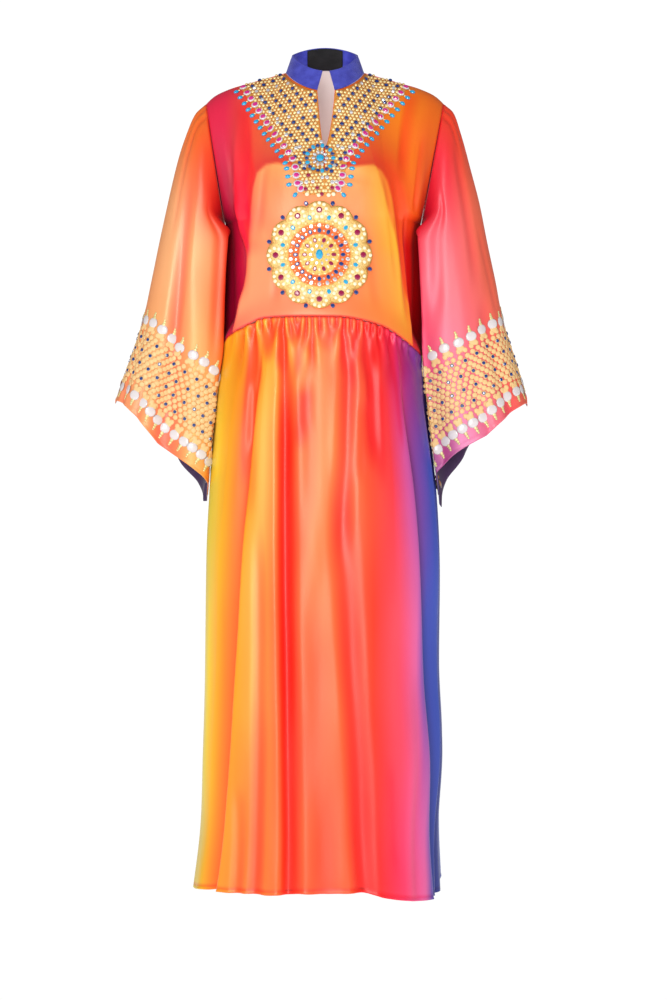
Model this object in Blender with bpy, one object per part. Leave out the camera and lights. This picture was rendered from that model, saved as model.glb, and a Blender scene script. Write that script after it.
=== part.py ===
# A long satin kaftan, hollow and in the shape it takes when worn: a yoked bodice with a
# neck slit and stand collar, a skirt gathered into an arched seam, and two bell sleeves.
# Metres. +Z is up, the front faces -Y, and the wearer's left is +X. The origin lies
# midway between the two points where the shoulder seams meet the collar.

import math
from collections import namedtuple

import bpy
from mathutils import Vector

# Thicknesses of the walls, the gap at every seam, and the gap under what is laid on cloth
CLOTH = 0.0015
COLLAR_CLOTH = 0.0022
LABEL_CLOTH = 0.001
APPLIQUE = 0.0022
SEAM_GAP = 0.0003
LAID_GAP = 0.0006

# Neck, slit and armholes. The shoulder and side seams lie in the plane y = SEAM_Y.
SEAM_Y = 0.008
NECK_WIDTH = 0.068
NECK_FRONT = 0.083
NECK_BACK = 0.055
NECK_DROP = 0.044
NECK_RISE = 0.014
NECK_CURVE = 1.4
NECK_SHIFT = 0.002
SLIT_DEPTH = 0.145
SLIT_HALF = 0.015
SLIT_CURVE = 0.55
UNDERARM_Z = -0.265
ARMHOLE_FRONT = 0.058
ARMHOLE_BACK = 0.056
ARMHOLE_PULL = 2.2

# How the upper bodice leaves its upper edge and reaches the ring under the arms. Each
# has the way forward and the way up, over the whole drop.
Lead = namedtuple("Lead", "forward up")
LEAVE_SHOULDER = Lead(0.105, -0.030)
LEAVE_NECK_FRONT = Lead(0.062, -0.215)
LEAVE_NECK_BACK = Lead(0.050, -0.215)
REACH_UNDERARM = Lead(0.010, -0.205)
CORNER_SPREAD = 0.075
CORNER_SLOPE = -0.28
CORNER_POWER = 0.87

# How finely the panels are divided. NECK_SHARE is the part of the upper edge on the neck.
BODICE_ROWS = 18
UPPER_ROWS = 10
UPPER_SHARE = UPPER_ROWS / BODICE_ROWS
FRONT_COLUMNS = 15
BACK_COLUMNS = 10
NECK_SHARE = 0.40
SKIRT_FINE_DROPS = (0.0, 0.008, 0.022, 0.045, 0.080)
SKIRT_COARSE_DROPS = (0.125, 0.20, 0.31, 0.45, 0.60, 0.75, 0.88, 1.0)
SLEEVE_ROWS = (0.0, 0.022, 0.055, 0.10, 0.16, 0.24, 0.34, 0.46, 0.58, 0.70, 0.81, 0.91, 1.0)
SLEEVE_TURNS = tuple(range(-40, 41, 8)) + tuple(range(52, 309, 13))
COLLAR_COLUMNS = 48
COLLAR_RISES = (1.0, 0.66, 0.33, 0.0)
LABEL_COLUMNS = 8
LABEL_ROWS = 3

# Gathers under the waist seam, and the small pleats at the top of each sleeve
GATHERS_FRONT = 24
GATHERS_BACK = 18
GATHER_DEPTH = 0.0034
GATHER_LENGTH = 0.070
GATHER_STRAY = 0.18
GOLDEN = 0.618034
CAP_PLEATS = (-34, -18, -4, 10, 25, 40)
CAP_PLEAT_DEPTH = 0.0035
CAP_PLEAT_WIDTH = 4.5
CAP_PLEAT_END = 0.24

# Rings of the hanging cloth: half widths to the wearer's left and right, and depths
Section = namedtuple("Section", "z left right front back")
BODY = (
    Section(-0.200, 0.1665, 0.1725, 0.134, 0.104),
    Section(-0.265, 0.1665, 0.1730, 0.139, 0.102),
    Section(-0.345, 0.1650, 0.1740, 0.145, 0.099),
    Section(-0.435, 0.1600, 0.1710, 0.148, 0.103),
    Section(-0.490, 0.1580, 0.1690, 0.152, 0.110),
    Section(-0.556, 0.1680, 0.1870, 0.159, 0.122),
    Section(-0.633, 0.1770, 0.1920, 0.163, 0.130),
    Section(-0.734, 0.1865, 0.1975, 0.166, 0.138),
    Section(-0.850, 0.1930, 0.2060, 0.167, 0.145),
    Section(-1.050, 0.1985, 0.2085, 0.168, 0.152),
    Section(-1.180, 0.2040, 0.2120, 0.169, 0.156),
    Section(-1.310, 0.1970, 0.2165, 0.171, 0.160),
    Section(-1.430, 0.2010, 0.2310, 0.174, 0.165),
)

# Heights of the arched waist seam and of the hem, by angle from the centre front
Height = namedtuple("Height", "angle z")
WAIST_SEAM = (
    Height(-180, -0.455),
    Height(-130, -0.468),
    Height(-90, -0.479),
    Height(-68, -0.463),
    Height(-45, -0.4465),
    Height(-33, -0.4365),
    Height(0, -0.435),
    Height(12, -0.437),
    Height(33, -0.451),
    Height(51, -0.472),
    Height(66, -0.487),
    Height(90, -0.500),
    Height(130, -0.474),
    Height(180, -0.455),
)
HEM = (
    Height(-180, -1.400),
    Height(-120, -1.402),
    Height(-90, -1.412),
    Height(-55, -1.405),
    Height(-20, -1.403),
    Height(15, -1.400),
    Height(35, -1.415),
    Height(55, -1.421),
    Height(90, -1.420),
    Height(125, -1.402),
    Height(180, -1.400),
)

# The shoulder line from the collar to the sleeve, the same on both sides
Shoulder = namedtuple("Shoulder", "x z")
SHOULDER = (
    Shoulder(0.068, 0.000),
    Shoulder(0.100, -0.009),
    Shoulder(0.135, -0.019),
    Shoulder(0.165, -0.028),
    Shoulder(0.190, -0.040),
    Shoulder(0.2065, -0.054),
)

# Rings of the bell sleeves: the overarm point, the underarm point and the depths
Ring = namedtuple("Ring", "along over over_z under under_z front back")
SLEEVE_RIGHT = (
    Ring(0.00, 0.2065, -0.054, 0.1730, -0.265, 0.058, 0.056),
    Ring(0.05, 0.2260, -0.072, 0.1765, -0.285, 0.066, 0.062),
    Ring(0.11, 0.2400, -0.104, 0.1785, -0.310, 0.070, 0.066),
    Ring(0.22, 0.2560, -0.155, 0.1795, -0.350, 0.069, 0.066),
    Ring(0.38, 0.2745, -0.232, 0.1810, -0.415, 0.066, 0.064),
    Ring(0.58, 0.2990, -0.350, 0.1860, -0.520, 0.064, 0.062),
    Ring(0.78, 0.3260, -0.455, 0.1970, -0.630, 0.061, 0.060),
    Ring(1.00, 0.3645, -0.575, 0.2110, -0.745, 0.056, 0.056),
)
SLEEVE_LEFT = (
    Ring(0.00, 0.2065, -0.054, 0.1665, -0.265, 0.058, 0.056),
    Ring(0.05, 0.2240, -0.070, 0.1695, -0.285, 0.066, 0.062),
    Ring(0.11, 0.2350, -0.102, 0.1715, -0.310, 0.070, 0.066),
    Ring(0.22, 0.2510, -0.162, 0.1720, -0.355, 0.070, 0.065),
    Ring(0.38, 0.2700, -0.234, 0.1720, -0.420, 0.068, 0.060),
    Ring(0.58, 0.2950, -0.355, 0.1735, -0.530, 0.066, 0.052),
    Ring(0.78, 0.3190, -0.459, 0.1850, -0.640, 0.063, 0.046),
    Ring(1.00, 0.3560, -0.580, 0.2035, -0.755, 0.058, 0.044),
)
HEM_RISE_RIGHT = 0.019
HEM_RISE_LEFT = 0.056
HEM_BOW_RIGHT = 1.5
HEM_BOW_LEFT = 0.8

# Folds, each a trough that runs down the cloth. Places are shares of the length and
# angles in degrees, "before" and "after" are its half widths, and depths are in metres.
Fold = namedtuple("Fold", "start end angle_start angle_end before after depth_start depth_end")
SKIRT_FRONT_FOLDS = (
    Fold(0.00, 1.02, -43, -56, 17, 7, 0.016, 0.026),
    Fold(0.01, 1.02, -19, -13, 6, 7, 0.010, 0.008),
    Fold(0.30, 1.02, -29, -28, 6, 6, 0.005, 0.006),
    Fold(0.00, 1.02, 6, 17, 8, 9, 0.006, 0.011),
    Fold(0.00, 0.45, 25, 23, 5, 6, 0.009, 0.005),
    Fold(0.05, 1.02, 36, 40, 7, 9, 0.004, 0.007),
    Fold(0.00, 0.36, 53, 56, 6, 9, 0.009, 0.006),
    Fold(0.02, 1.02, 73, 70, 9, 13, 0.014, 0.020),
)
SKIRT_BACK_FOLDS = (
    Fold(0.03, 1.02, 113, 116, 17, 17, -0.010, -0.022),
    Fold(0.02, 1.02, 140, 136, 9, 11, 0.009, 0.017),
    Fold(0.03, 1.02, 164, 166, 8, 9, 0.006, 0.012),
    Fold(0.02, 1.02, 190, 187, 9, 8, 0.006, 0.011),
    Fold(0.03, 1.02, 214, 217, 9, 10, 0.008, 0.015),
    Fold(0.05, 1.02, 241, 243, 10, 9, 0.007, 0.014),
)
BODICE_FOLDS = (
    Fold(0.30, 1.00, -78, -72, 16, 16, 0.006, 0.024),
    Fold(0.36, 0.93, -48, -50, 9, 8, 0.007, 0.005),
    Fold(0.12, 0.42, -62, -44, 9, 9, 0.004, 0.006),
    Fold(0.36, 0.97, 44, 57, 8, 11, 0.007, 0.009),
    Fold(0.40, 1.00, 72, 73, 10, 13, 0.005, 0.020),
    Fold(0.06, 0.40, 70, 50, 9, 9, 0.004, 0.007),
)
BACK_FOLDS = (
    Fold(0.45, 1.00, 120, 124, 10, 9, 0.003, 0.009),
    Fold(0.50, 1.00, 163, 160, 9, 9, 0.002, 0.006),
    Fold(0.50, 1.00, 197, 200, 9, 9, 0.002, 0.006),
    Fold(0.45, 1.00, 240, 237, 9, 10, 0.003, 0.009),
)
SLEEVE_RIGHT_FOLDS = (
    Fold(0.10, 1.05, 62, 96, 22, 20, 0.004, 0.017),
    Fold(0.30, 1.05, 135, 138, 16, 14, 0.003, 0.009),
    Fold(0.20, 1.05, 232, 236, 24, 22, 0.003, 0.013),
    Fold(0.45, 1.05, 290, 300, 20, 18, 0.002, 0.009),
)
SLEEVE_LEFT_FOLDS = (
    Fold(0.06, 0.60, 48, 62, 14, 15, 0.004, 0.004),
    Fold(0.35, 1.05, 118, 128, 20, 18, 0.003, 0.013),
    Fold(0.55, 1.05, 58, 52, 18, 16, 0.002, 0.008),
    Fold(0.25, 1.05, 236, 232, 24, 22, 0.003, 0.012),
    Fold(0.45, 1.05, 296, 305, 18, 18, 0.002, 0.009),
)

# The bust of a general figure, which the front hangs from
BUST_X = 0.092
BUST_Z = -0.178
BUST_LIFT = 0.012
BUST_WIDE = 0.050
BUST_TALL = 0.045

# Collar and label
COLLAR_HEIGHT = 0.030
COLLAR_BACK_HEIGHT = 0.038
COLLAR_LEAN = 0.011
COLLAR_END_LEAN = 0.0065
COLLAR_END_RISE = 0.004
COLLAR_CENTRE_Y = -0.002
LABEL_HALF = 0.032
LABEL_HEIGHT = 0.037
LABEL_TOP = 0.95
LABEL_GAP = 0.0008

# Beaded yoke, from its edge at the centre to the shoulder, and the medallion below it
Edge = namedtuple("Edge", "half z")
YOKE_EDGE = (
    Edge(0.000, -0.231),
    Edge(0.027, -0.228),
    Edge(0.040, -0.216),
    Edge(0.043, -0.195),
    Edge(0.046, -0.174),
    Edge(0.058, -0.153),
    Edge(0.147, -0.0265),
)
YOKE_REACH = 0.73
YOKE_TOP = 0.020
YOKE_CORE = -0.196
YOKE_TURN = 16 / 28
YOKE_ROWS = 8
YOKE_TEETH = 14
YOKE_END_STEPS = (0.55, 0.20, 0.0)
YOKE_TOOTH = 0.004
YOKE_SHIFT = -0.009
YOKE_INSET = 0.001
MEDALLION_X = -0.009
MEDALLION_Z = -0.331
MEDALLION_WIDE = 0.088
MEDALLION_TALL = 0.091
MEDALLION_LOBES = 12
MEDALLION_RINGS = (0.20, 0.36, 0.54, 0.70, 0.86, 1.0)
MEDALLION_DOME = 0.003
MEDALLION_RIM = 0.0018

Finish = namedtuple("Finish", "colour roughness metallic")
FINISHES = {
    "orange_satin": Finish((0.95, 0.30, 0.08), 0.35, 0.0),
    "coral_satin": Finish((0.95, 0.20, 0.14), 0.35, 0.0),
    "rose_satin": Finish((0.90, 0.12, 0.20), 0.35, 0.0),
    "blue_satin": Finish((0.10, 0.12, 0.55), 0.40, 0.0),
    "gold_beads": Finish((0.85, 0.55, 0.16), 0.35, 0.6),
    "black_label": Finish((0.03, 0.03, 0.03), 0.70, 0.0),
}


def ease(share):
    share = min(1.0, max(0.0, share))
    return share * share * (3 - 2 * share)


def mix(a, b, share):
    return a + (b - a) * share


def read(table, place):
    """The table's columns at a place in its first column, on smooth curves through its rows."""
    rows = sorted(table)
    place = min(rows[-1][0], max(rows[0][0], place))
    at = 0
    while at < len(rows) - 2 and place > rows[at + 1][0]:
        at += 1
    low, high = rows[at], rows[at + 1]
    before = rows[max(at - 1, 0)]
    after = rows[min(at + 2, len(rows) - 1)]
    span = high[0] - low[0]
    t = (place - low[0]) / span
    values = []
    for column in range(len(low)):
        slope_low = (high[column] - before[column]) / (high[0] - before[0]) * span
        slope_high = (after[column] - low[column]) / (after[0] - low[0]) * span
        values.append(
            low[column] * (2 * t**3 - 3 * t**2 + 1)
            + slope_low * (t**3 - 2 * t**2 + t)
            + high[column] * (3 * t**2 - 2 * t**3)
            + slope_high * (t**3 - t**2)
        )
    return type(low)(*values)


def trough(folds, share, angle):
    """How deep the folds press into the cloth at a share of its length and an angle."""
    depth = 0.0
    for fold in folds:
        run = (share - fold.start) / (fold.end - fold.start)
        if not 0 <= run <= 1:
            continue
        off = angle - mix(fold.angle_start, fold.angle_end, run)
        reach = fold.after if off > 0 else fold.before
        if abs(off) >= reach:
            continue
        fade = ease(run / 0.22)
        if fold.end < 1:
            fade *= ease((1 - run) / 0.30)
        wave = 0.5 + 0.5 * math.cos(math.pi * off / reach)
        depth += mix(fold.depth_start, fold.depth_end, run) * fade * wave
    return depth


def ring_point(z, angle):
    """A point of the plain ring at this height. Angles run from the centre front to +X."""
    section = read(BODY, z)
    across = math.sin(math.radians(angle))
    ahead = math.cos(math.radians(angle))
    half = section.left if across > 0 else section.right
    depth = section.front if ahead > 0 else section.back
    x = math.copysign(abs(across) ** CORNER_POWER, across) * half
    y = -math.copysign(abs(ahead) ** CORNER_POWER, ahead) * depth
    return Vector((x, y + SEAM_Y, z))


def waist_height(angle):
    """The height of the waist seam, straight between the columns of the bodice, so that
    the finer edge of the skirt lies along it."""
    columns = FRONT_COLUMNS if abs(angle) <= 90 else BACK_COLUMNS
    step = 90 / columns
    place = math.floor(angle / step)
    low = read(WAIST_SEAM, place * step).z
    high = read(WAIST_SEAM, (place + 1) * step).z
    return mix(low, high, angle / step - place)


def ring_out(angle):
    return Vector((math.sin(math.radians(angle)), -math.cos(math.radians(angle)), 0))


def seam_fade(angle):
    """Folds die out towards the two side seams, so that front and back still meet."""
    return ease(abs(math.cos(math.radians(angle))) / math.sin(math.radians(12)))


# Bodice

def slit_half(z):
    """Half the width of the neck slit at this height."""
    run = (z + SLIT_DEPTH) / (SLIT_DEPTH - NECK_DROP)
    return SLIT_HALF * min(1.0, max(0.0, run)) ** SLIT_CURVE


def neck_height(turn, back):
    """The height of the neckline, straight between the columns of the bodice, so that the
    finer edge of the collar lies along it."""
    columns = round((BACK_COLUMNS if back else FRONT_COLUMNS) * NECK_SHARE)
    place = min(columns - 1, math.floor(turn * columns))
    start = 0 if back else math.asin(SLIT_HALF / NECK_WIDTH)
    ends = []
    for station in (place, place + 1):
        angle = mix(start, math.pi / 2, station / columns)
        ends.append(max(0.0, math.cos(angle)) ** NECK_CURVE)
    level = mix(ends[0], ends[1], turn * columns - place)
    return level * (NECK_RISE if back else -NECK_DROP)


def neck_point(turn, back):
    """A point of the neckline, from the shoulder seam at turn 1 to the centre at turn 0."""
    start = 0 if back else math.asin(SLIT_HALF / NECK_WIDTH)
    angle = mix(start, math.pi / 2, turn)
    y = SEAM_Y + math.cos(angle) * (NECK_BACK if back else -NECK_FRONT)
    return Vector((NECK_WIDTH * math.sin(angle), y, neck_height(turn, back)))


def top_edge(share, back):
    """The upper edge of a half bodice, along the neckline and then the shoulder seam."""
    if share < NECK_SHARE:
        return neck_point(share / NECK_SHARE, back)
    run = (share - NECK_SHARE) / (1 - NECK_SHARE)
    spot = read(SHOULDER, mix(SHOULDER[0].x, SHOULDER[-1].x, run))
    return Vector((spot.x, SEAM_Y, spot.z))


def armhole_point(side, turn):
    """A point of the armhole. Turn 0 is the shoulder, 90 the front and 180 the underarm."""
    ring = (SLEEVE_LEFT if side > 0 else SLEEVE_RIGHT)[0]
    over = Vector((ring.over * side, SEAM_Y, ring.over_z))
    under = Vector((ring.under * side, SEAM_Y, ring.under_z))
    turn = math.radians(turn)
    depth = ARMHOLE_FRONT if math.sin(turn) > 0 else ARMHOLE_BACK
    middle = (over + under) / 2
    return middle + (over - middle) * math.cos(turn) - Vector((0, depth * math.sin(turn), 0))


def armhole_out(side):
    """The way out through an armhole, square to the flat curve that it lies in."""
    ring = (SLEEVE_LEFT if side > 0 else SLEEVE_RIGHT)[0]
    drop = ring.over_z - ring.under_z
    return Vector((side * drop, 0, ring.under - ring.over)).normalized()


def hermite(start, end, leave, arrive, t):
    return (
        start * (2 * t**3 - 3 * t**2 + 1)
        + leave * (t**3 - 2 * t**2 + t)
        + end * (3 * t**2 - 2 * t**3)
        + arrive * (t**3 - t**2)
    )


def chest_point(across, down, back):
    """A point between the upper edge and the underarm ring, before folds.
    Across runs from -1 to 1 over the panel, and down from 0 to 1."""
    side = 1 if across >= 0 else -1
    share = abs(across)
    angle = (180 - 90 * across) if back else 90 * across
    ahead = 1 if back else -1
    start = top_edge(share, back)
    start.x *= side
    start.x += NECK_SHIFT * max(0.0, 1 - share / NECK_SHARE)
    end = ring_point(UNDERARM_Z, angle)
    on_neck = max(0.0, 1 - share / NECK_SHARE)
    neck = LEAVE_NECK_BACK if back else LEAVE_NECK_FRONT
    shoulder = Vector((0, LEAVE_SHOULDER.forward * ahead, LEAVE_SHOULDER.up))
    leave = shoulder.lerp(Vector((0, neck.forward * ahead, neck.up)), on_neck)
    near_corner = share / NECK_SHARE if on_neck else (1 - share) / (1 - NECK_SHARE)
    leave += Vector((side, 0, CORNER_SLOPE)) * CORNER_SPREAD * near_corner**1.5
    arrive = Vector((0, REACH_UNDERARM.forward * ahead, REACH_UNDERARM.up))
    spot = hermite(start, end, leave, arrive, down)
    edge_start = top_edge(1, back)
    edge_start.x *= side
    edge = hermite(
        edge_start,
        ring_point(UNDERARM_Z, 180 - 90 * side if back else 90 * side),
        shoulder,
        arrive,
        down,
    )
    turn = -180 * down if back else 180 * down
    spot += (armhole_point(side, turn) - edge) * ease(share) ** ARMHOLE_PULL
    return spot


def bust_lift(spot):
    """How far the bust pushes the front out at this place."""
    tall = BUST_TALL if spot.z > BUST_Z else 2.2 * BUST_TALL
    lift = 0.0
    for side in (-1, 1):
        wide = (spot.x - side * BUST_X) / BUST_WIDE
        lift += BUST_LIFT * math.exp(-wide * wide - ((spot.z - BUST_Z) / tall) ** 2)
    return lift


def bodice_point(across, down, back):
    """A point of the finished bodice. Down runs from 0 at the top to 1 at the waist seam,
    and passes the underarm at UPPER_SHARE."""
    angle = (180 - 90 * across) if back else 90 * across
    if down <= UPPER_SHARE:
        spot = chest_point(across, down / UPPER_SHARE, back)
    else:
        run = (down - UPPER_SHARE) / (1 - UPPER_SHARE)
        wrapped = angle - 360 if angle > 180 else angle
        spot = ring_point(mix(UNDERARM_Z, waist_height(wrapped), run), angle)
    fade = ease((1 - abs(across)) / 0.16) * ease((1 - down) / 0.10) * ease(down / 0.10)
    out = ring_out(angle)
    if not back:
        spot += Vector((0, -1, 0)) * bust_lift(spot) * ease((1 - abs(across)) / 0.3)
    spot -= out * trough(BACK_FOLDS if back else BODICE_FOLDS, down, angle) * fade
    return spot


def bodice_station(side, column, row, back):
    """A grid point of the half bodice on one side, which the slit parts at column 0."""
    columns = BACK_COLUMNS if back else FRONT_COLUMNS
    spot = bodice_point(side * max(column / columns, 1e-6), row / BODICE_ROWS, back)
    if column == 0:
        slit = 0.0 if back else slit_half(spot.z)
        spot.x = side * slit + NECK_SHIFT * ease(slit / SLIT_HALF)
    return spot


def front_facet(side, across, down):
    """A point on the flat facets of the front, which the pieces laid on it are lifted from."""
    place = min(across * FRONT_COLUMNS, FRONT_COLUMNS - 1e-6)
    level = min(down * BODICE_ROWS, BODICE_ROWS - 1e-6)
    column, row = math.floor(place), math.floor(level)
    u, v = place - column, level - row
    near = bodice_station(side, column, row, False)
    far = bodice_station(side, column + 1, row, False)
    low = bodice_station(side, column, row + 1, False)
    low_far = bodice_station(side, column + 1, row + 1, False)
    if (near - low_far).length < (far - low).length:
        if v > u:
            return near + (low - near) * v + (low_far - low) * u
        return near + (far - near) * u + (low_far - far) * v
    if u + v < 1:
        return near + (far - near) * u + (low - near) * v
    return low_far + (low - low_far) * (1 - u) + (far - low_far) * (1 - v)


class Cloth:
    """A sheet of cloth that is given its thickness at the end. Each point keeps the
    directions towards the pieces that it is sewn to, so that a gap stays at every seam."""

    def __init__(self):
        self.points = []
        self.faces = []
        self.seams = []
        self.raises = {}

    def point(self, spot, *seams):
        self.points.append(Vector(spot))
        self.seams.append([Vector(s).normalized() for s in seams])
        return len(self.points) - 1

    def strip(self, upper, lower):
        """Faces between two rows of points. The upper row may have twice the columns."""
        if len(upper) == len(lower):
            for k in range(len(upper) - 1):
                a, b, c, d = upper[k], lower[k], lower[k + 1], upper[k + 1]
                falling = (self.points[a] - self.points[c]).length
                rising = (self.points[b] - self.points[d]).length
                if falling < rising:
                    self.faces += [(a, b, c), (a, c, d)]
                else:
                    self.faces += [(a, b, d), (b, c, d)]
            return
        for k in range(len(lower) - 1):
            first, middle, last = upper[2 * k : 2 * k + 3]
            self.faces.append((first, lower[k], middle))
            self.faces.append((middle, lower[k], lower[k + 1]))
            self.faces.append((middle, lower[k + 1], last))

    def normals(self):
        total = [Vector((0, 0, 0)) for _ in self.points]
        for face in self.faces:
            corners = [self.points[i] for i in face]
            area = Vector((0, 0, 0))
            for a, b in zip(corners, corners[1:] + corners[:1]):
                area += a.cross(b)
            for i in face:
                total[i] += area
        return [n.normalized() for n in total]

    def build(self, name, finish, thickness):
        """Makes the wall: this sheet, its copy on the inner side and the edges between."""
        outs = self.normals()
        outer = []
        inner = []
        for number, (spot, out, seams) in enumerate(zip(self.points, outs, self.seams)):
            lean = -out
            for seam in seams:
                if lean.dot(seam) > 0:
                    lean -= seam * lean.dot(seam)
            lean.normalize()
            moved = spot.copy()
            for seam in seams:
                moved -= seam * SEAM_GAP / 2
            outer.append(moved + out * self.raises.get(number, 0.0))
            inner.append(moved + lean * thickness)
        count = len(outer)
        faces = list(self.faces)
        faces += [tuple(i + count for i in reversed(face)) for face in self.faces]
        sides = [pair for face in self.faces for pair in zip(face, face[1:] + face[:1])]
        both_ways = set(sides)
        for a, b in sides:
            if (b, a) not in both_ways:
                faces.append((b, a, a + count, b + count))
        mesh = bpy.data.meshes.new(name)
        mesh.from_pydata([tuple(p) for p in outer + inner], [], faces)
        mesh.materials.append(material(finish))
        mesh.update()
        mesh.shade_smooth()
        mesh.set_sharp_from_angle(angle=math.radians(50))
        piece = bpy.data.objects.new(name, mesh)
        garment.objects.link(piece)
        return piece


def material(name):
    found = bpy.data.materials.get(name)
    if found:
        return found
    made = bpy.data.materials.new(name)
    made.use_nodes = True
    shader = made.node_tree.nodes["Principled BSDF"]
    finish = FINISHES[name]
    shader.inputs["Base Color"].default_value = (*finish.colour, 1)
    shader.inputs["Roughness"].default_value = finish.roughness
    shader.inputs["Metallic"].default_value = finish.metallic
    made.diffuse_color = (*finish.colour, 1)
    return made


def make_bodice(back):
    """The front or the back of the bodice. The front is cut open down its neck slit."""
    cloth = Cloth()
    columns = BACK_COLUMNS if back else FRONT_COLUMNS
    ahead = 1 if back else -1
    previous = None
    for row in range(BODICE_ROWS + 1):
        down = row / BODICE_ROWS
        halves = []
        for side in (-1, 1):
            half = []
            for column in range(columns + 1):
                share = column / columns
                spot = bodice_station(side, column, row, back)
                seams = []
                if row == 0:
                    on_neck = share < NECK_SHARE + 1e-6
                    seams.append((0, 0, 1) if on_neck else (0, -ahead, 0))
                    if abs(share - NECK_SHARE) < 0.5 / columns:
                        seams.append((0, -ahead, 0))
                if column == columns:
                    chest = down / UPPER_SHARE
                    if chest < 1 + 1e-6:
                        seams.append(armhole_out(side))
                    if chest > 1 - 1e-6 or row == 0:
                        seams.append((0, -ahead, 0))
                if row == BODICE_ROWS:
                    seams.append((0, 0, -1))
                slit = side > 0 and column == 0 and (back or spot.z <= -SLIT_DEPTH)
                half.append(halves[0][0] if slit else cloth.point(spot, *seams))
            halves.append(half)
        if previous:
            left, right = halves
            if back:
                cloth.strip(previous[0], left)
                cloth.strip(previous[1][::-1], right[::-1])
            else:
                cloth.strip(previous[0][::-1], left[::-1])
                cloth.strip(previous[1], right)
        previous = halves
    name = "bodice_back" if back else "bodice_front"
    return cloth.build(name, "orange_satin", CLOTH)


# Skirt

def gather_wave(phase, drop, number):
    """The small pleats under the waist seam, each of its own depth and length."""
    strength = 0.55 + 0.45 * math.cos(2 * math.pi * GOLDEN * number * 1.7)
    length = GATHER_LENGTH * (1 + 0.78 * math.cos(2 * math.pi * GOLDEN * number + 1.0))
    rise = mix(0.25, 1.0, ease(drop / 0.012))
    fall = ease(1 - (drop - 0.010) / length)
    return GATHER_DEPTH * strength * rise * fall * math.cos(2 * math.pi * phase)


def skirt_point(angle, share, back, gathers):
    """A point of the skirt, from the waist seam at share 0 to the hem at share 1."""
    wrapped = angle - 360 if angle > 180 else angle
    top = waist_height(wrapped)
    spot = ring_point(mix(top, read(HEM, wrapped).z, share), angle)
    out = ring_out(angle)
    turn = (angle - 90) / 180 if back else (angle + 90) / 180
    place = turn * gathers + GATHER_STRAY * math.sin(12 * math.pi * turn)
    wave = gather_wave(place, top - spot.z, math.floor(place))
    folds = SKIRT_BACK_FOLDS if back else SKIRT_FRONT_FOLDS
    settle = ease(share / 0.05)
    return spot + out * (wave - trough(folds, share, angle) * settle) * seam_fade(angle)


def make_skirt(back):
    cloth = Cloth()
    gathers = GATHERS_BACK if back else GATHERS_FRONT
    ahead = 1 if back else -1
    fine = gathers * 4
    previous = None
    for drop in SKIRT_FINE_DROPS + SKIRT_COARSE_DROPS:
        columns = fine if drop in SKIRT_FINE_DROPS else fine // 2
        row = []
        for column in range(columns + 1):
            angle = (90 if back else -90) + 180 * column / columns
            seams = []
            if drop == 0:
                seams.append((0, 0, 1))
            if column in (0, columns):
                seams.append((0, -ahead, 0))
            row.append(cloth.point(skirt_point(angle, drop, back, gathers), *seams))
        if previous:
            cloth.strip(previous, row)
        previous = row
    name = "skirt_back" if back else "skirt_front"
    return cloth.build(name, "coral_satin", CLOTH)


# Sleeves

def sleeve_point(side, along, turn):
    """A point of a sleeve. Turn 0 is over the arm, 90 its front and 180 under it."""
    table = SLEEVE_LEFT if side > 0 else SLEEVE_RIGHT
    folds = SLEEVE_LEFT_FOLDS if side > 0 else SLEEVE_RIGHT_FOLDS
    ring = read(table, along)
    over = Vector((ring.over * side, SEAM_Y, ring.over_z))
    under = Vector((ring.under * side, SEAM_Y, ring.under_z))
    middle = (over + under) / 2
    radians = math.radians(turn)
    depth = ring.front if math.sin(radians) > 0 else ring.back
    spot = middle + (over - middle) * math.cos(radians) - Vector((0, depth * math.sin(radians), 0))
    rise = HEM_RISE_LEFT if side > 0 else HEM_RISE_RIGHT
    bow = HEM_BOW_LEFT if side > 0 else HEM_BOW_RIGHT
    spot.z += rise * abs(math.sin(radians)) ** bow * ease((along - 0.35) / 0.65)
    out = Vector((side * math.cos(radians), -math.sin(radians), 0.25 * math.cos(radians)))
    out.normalize()
    wrapped = turn if turn < 300 else turn - 360
    pleat = sum(math.exp(-(((wrapped - p) / CAP_PLEAT_WIDTH) ** 2)) for p in CAP_PLEATS)
    fall = ease(along / 0.02) * ease(1 - along / CAP_PLEAT_END)
    press = trough(folds, along, turn) * ease(along / 0.06) + CAP_PLEAT_DEPTH * pleat * fall
    return spot - out * press


def make_sleeve(side):
    cloth = Cloth()
    previous = None
    for along in SLEEVE_ROWS:
        row = []
        for turn in SLEEVE_TURNS:
            seams = []
            if along == 0:
                seams.append(-armhole_out(side))
            row.append(cloth.point(sleeve_point(side, along, turn % 360), *seams))
        row.append(row[0])
        if previous:
            if side > 0:
                cloth.strip(previous[::-1], row[::-1])
            else:
                cloth.strip(previous, row)
        previous = row
    name = "sleeve_left" if side > 0 else "sleeve_right"
    return cloth.build(name, "rose_satin" if side > 0 else "orange_satin", CLOTH)


# Collar and label

def collar_point(turn, up):
    """A point of the collar's outer face. Turn runs from -1 at the wearer's right front
    end, round the back at 0, to 1 at the left front end, and up from 0 to 1."""
    side = 1 if turn >= 0 else -1
    share = abs(turn)
    back = share < 0.5
    run = share / 0.5 if back else (1 - share) / 0.5
    spot = neck_point(run, back)
    spot.x *= side
    centre = Vector((0, COLLAR_CENTRE_Y, spot.z))
    inward = (centre - spot).normalized()
    height = mix(COLLAR_BACK_HEIGHT, COLLAR_HEIGHT, ease(share / 0.6))
    spot += inward * COLLAR_LEAN * up
    spot.z += height * up
    if not back:
        spot.x -= side * COLLAR_END_LEAN * up * (1 - run) ** 2
        spot.z += COLLAR_END_RISE * up * (1 - run)
        spot.x += NECK_SHIFT * (1 - run)
    return spot


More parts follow.
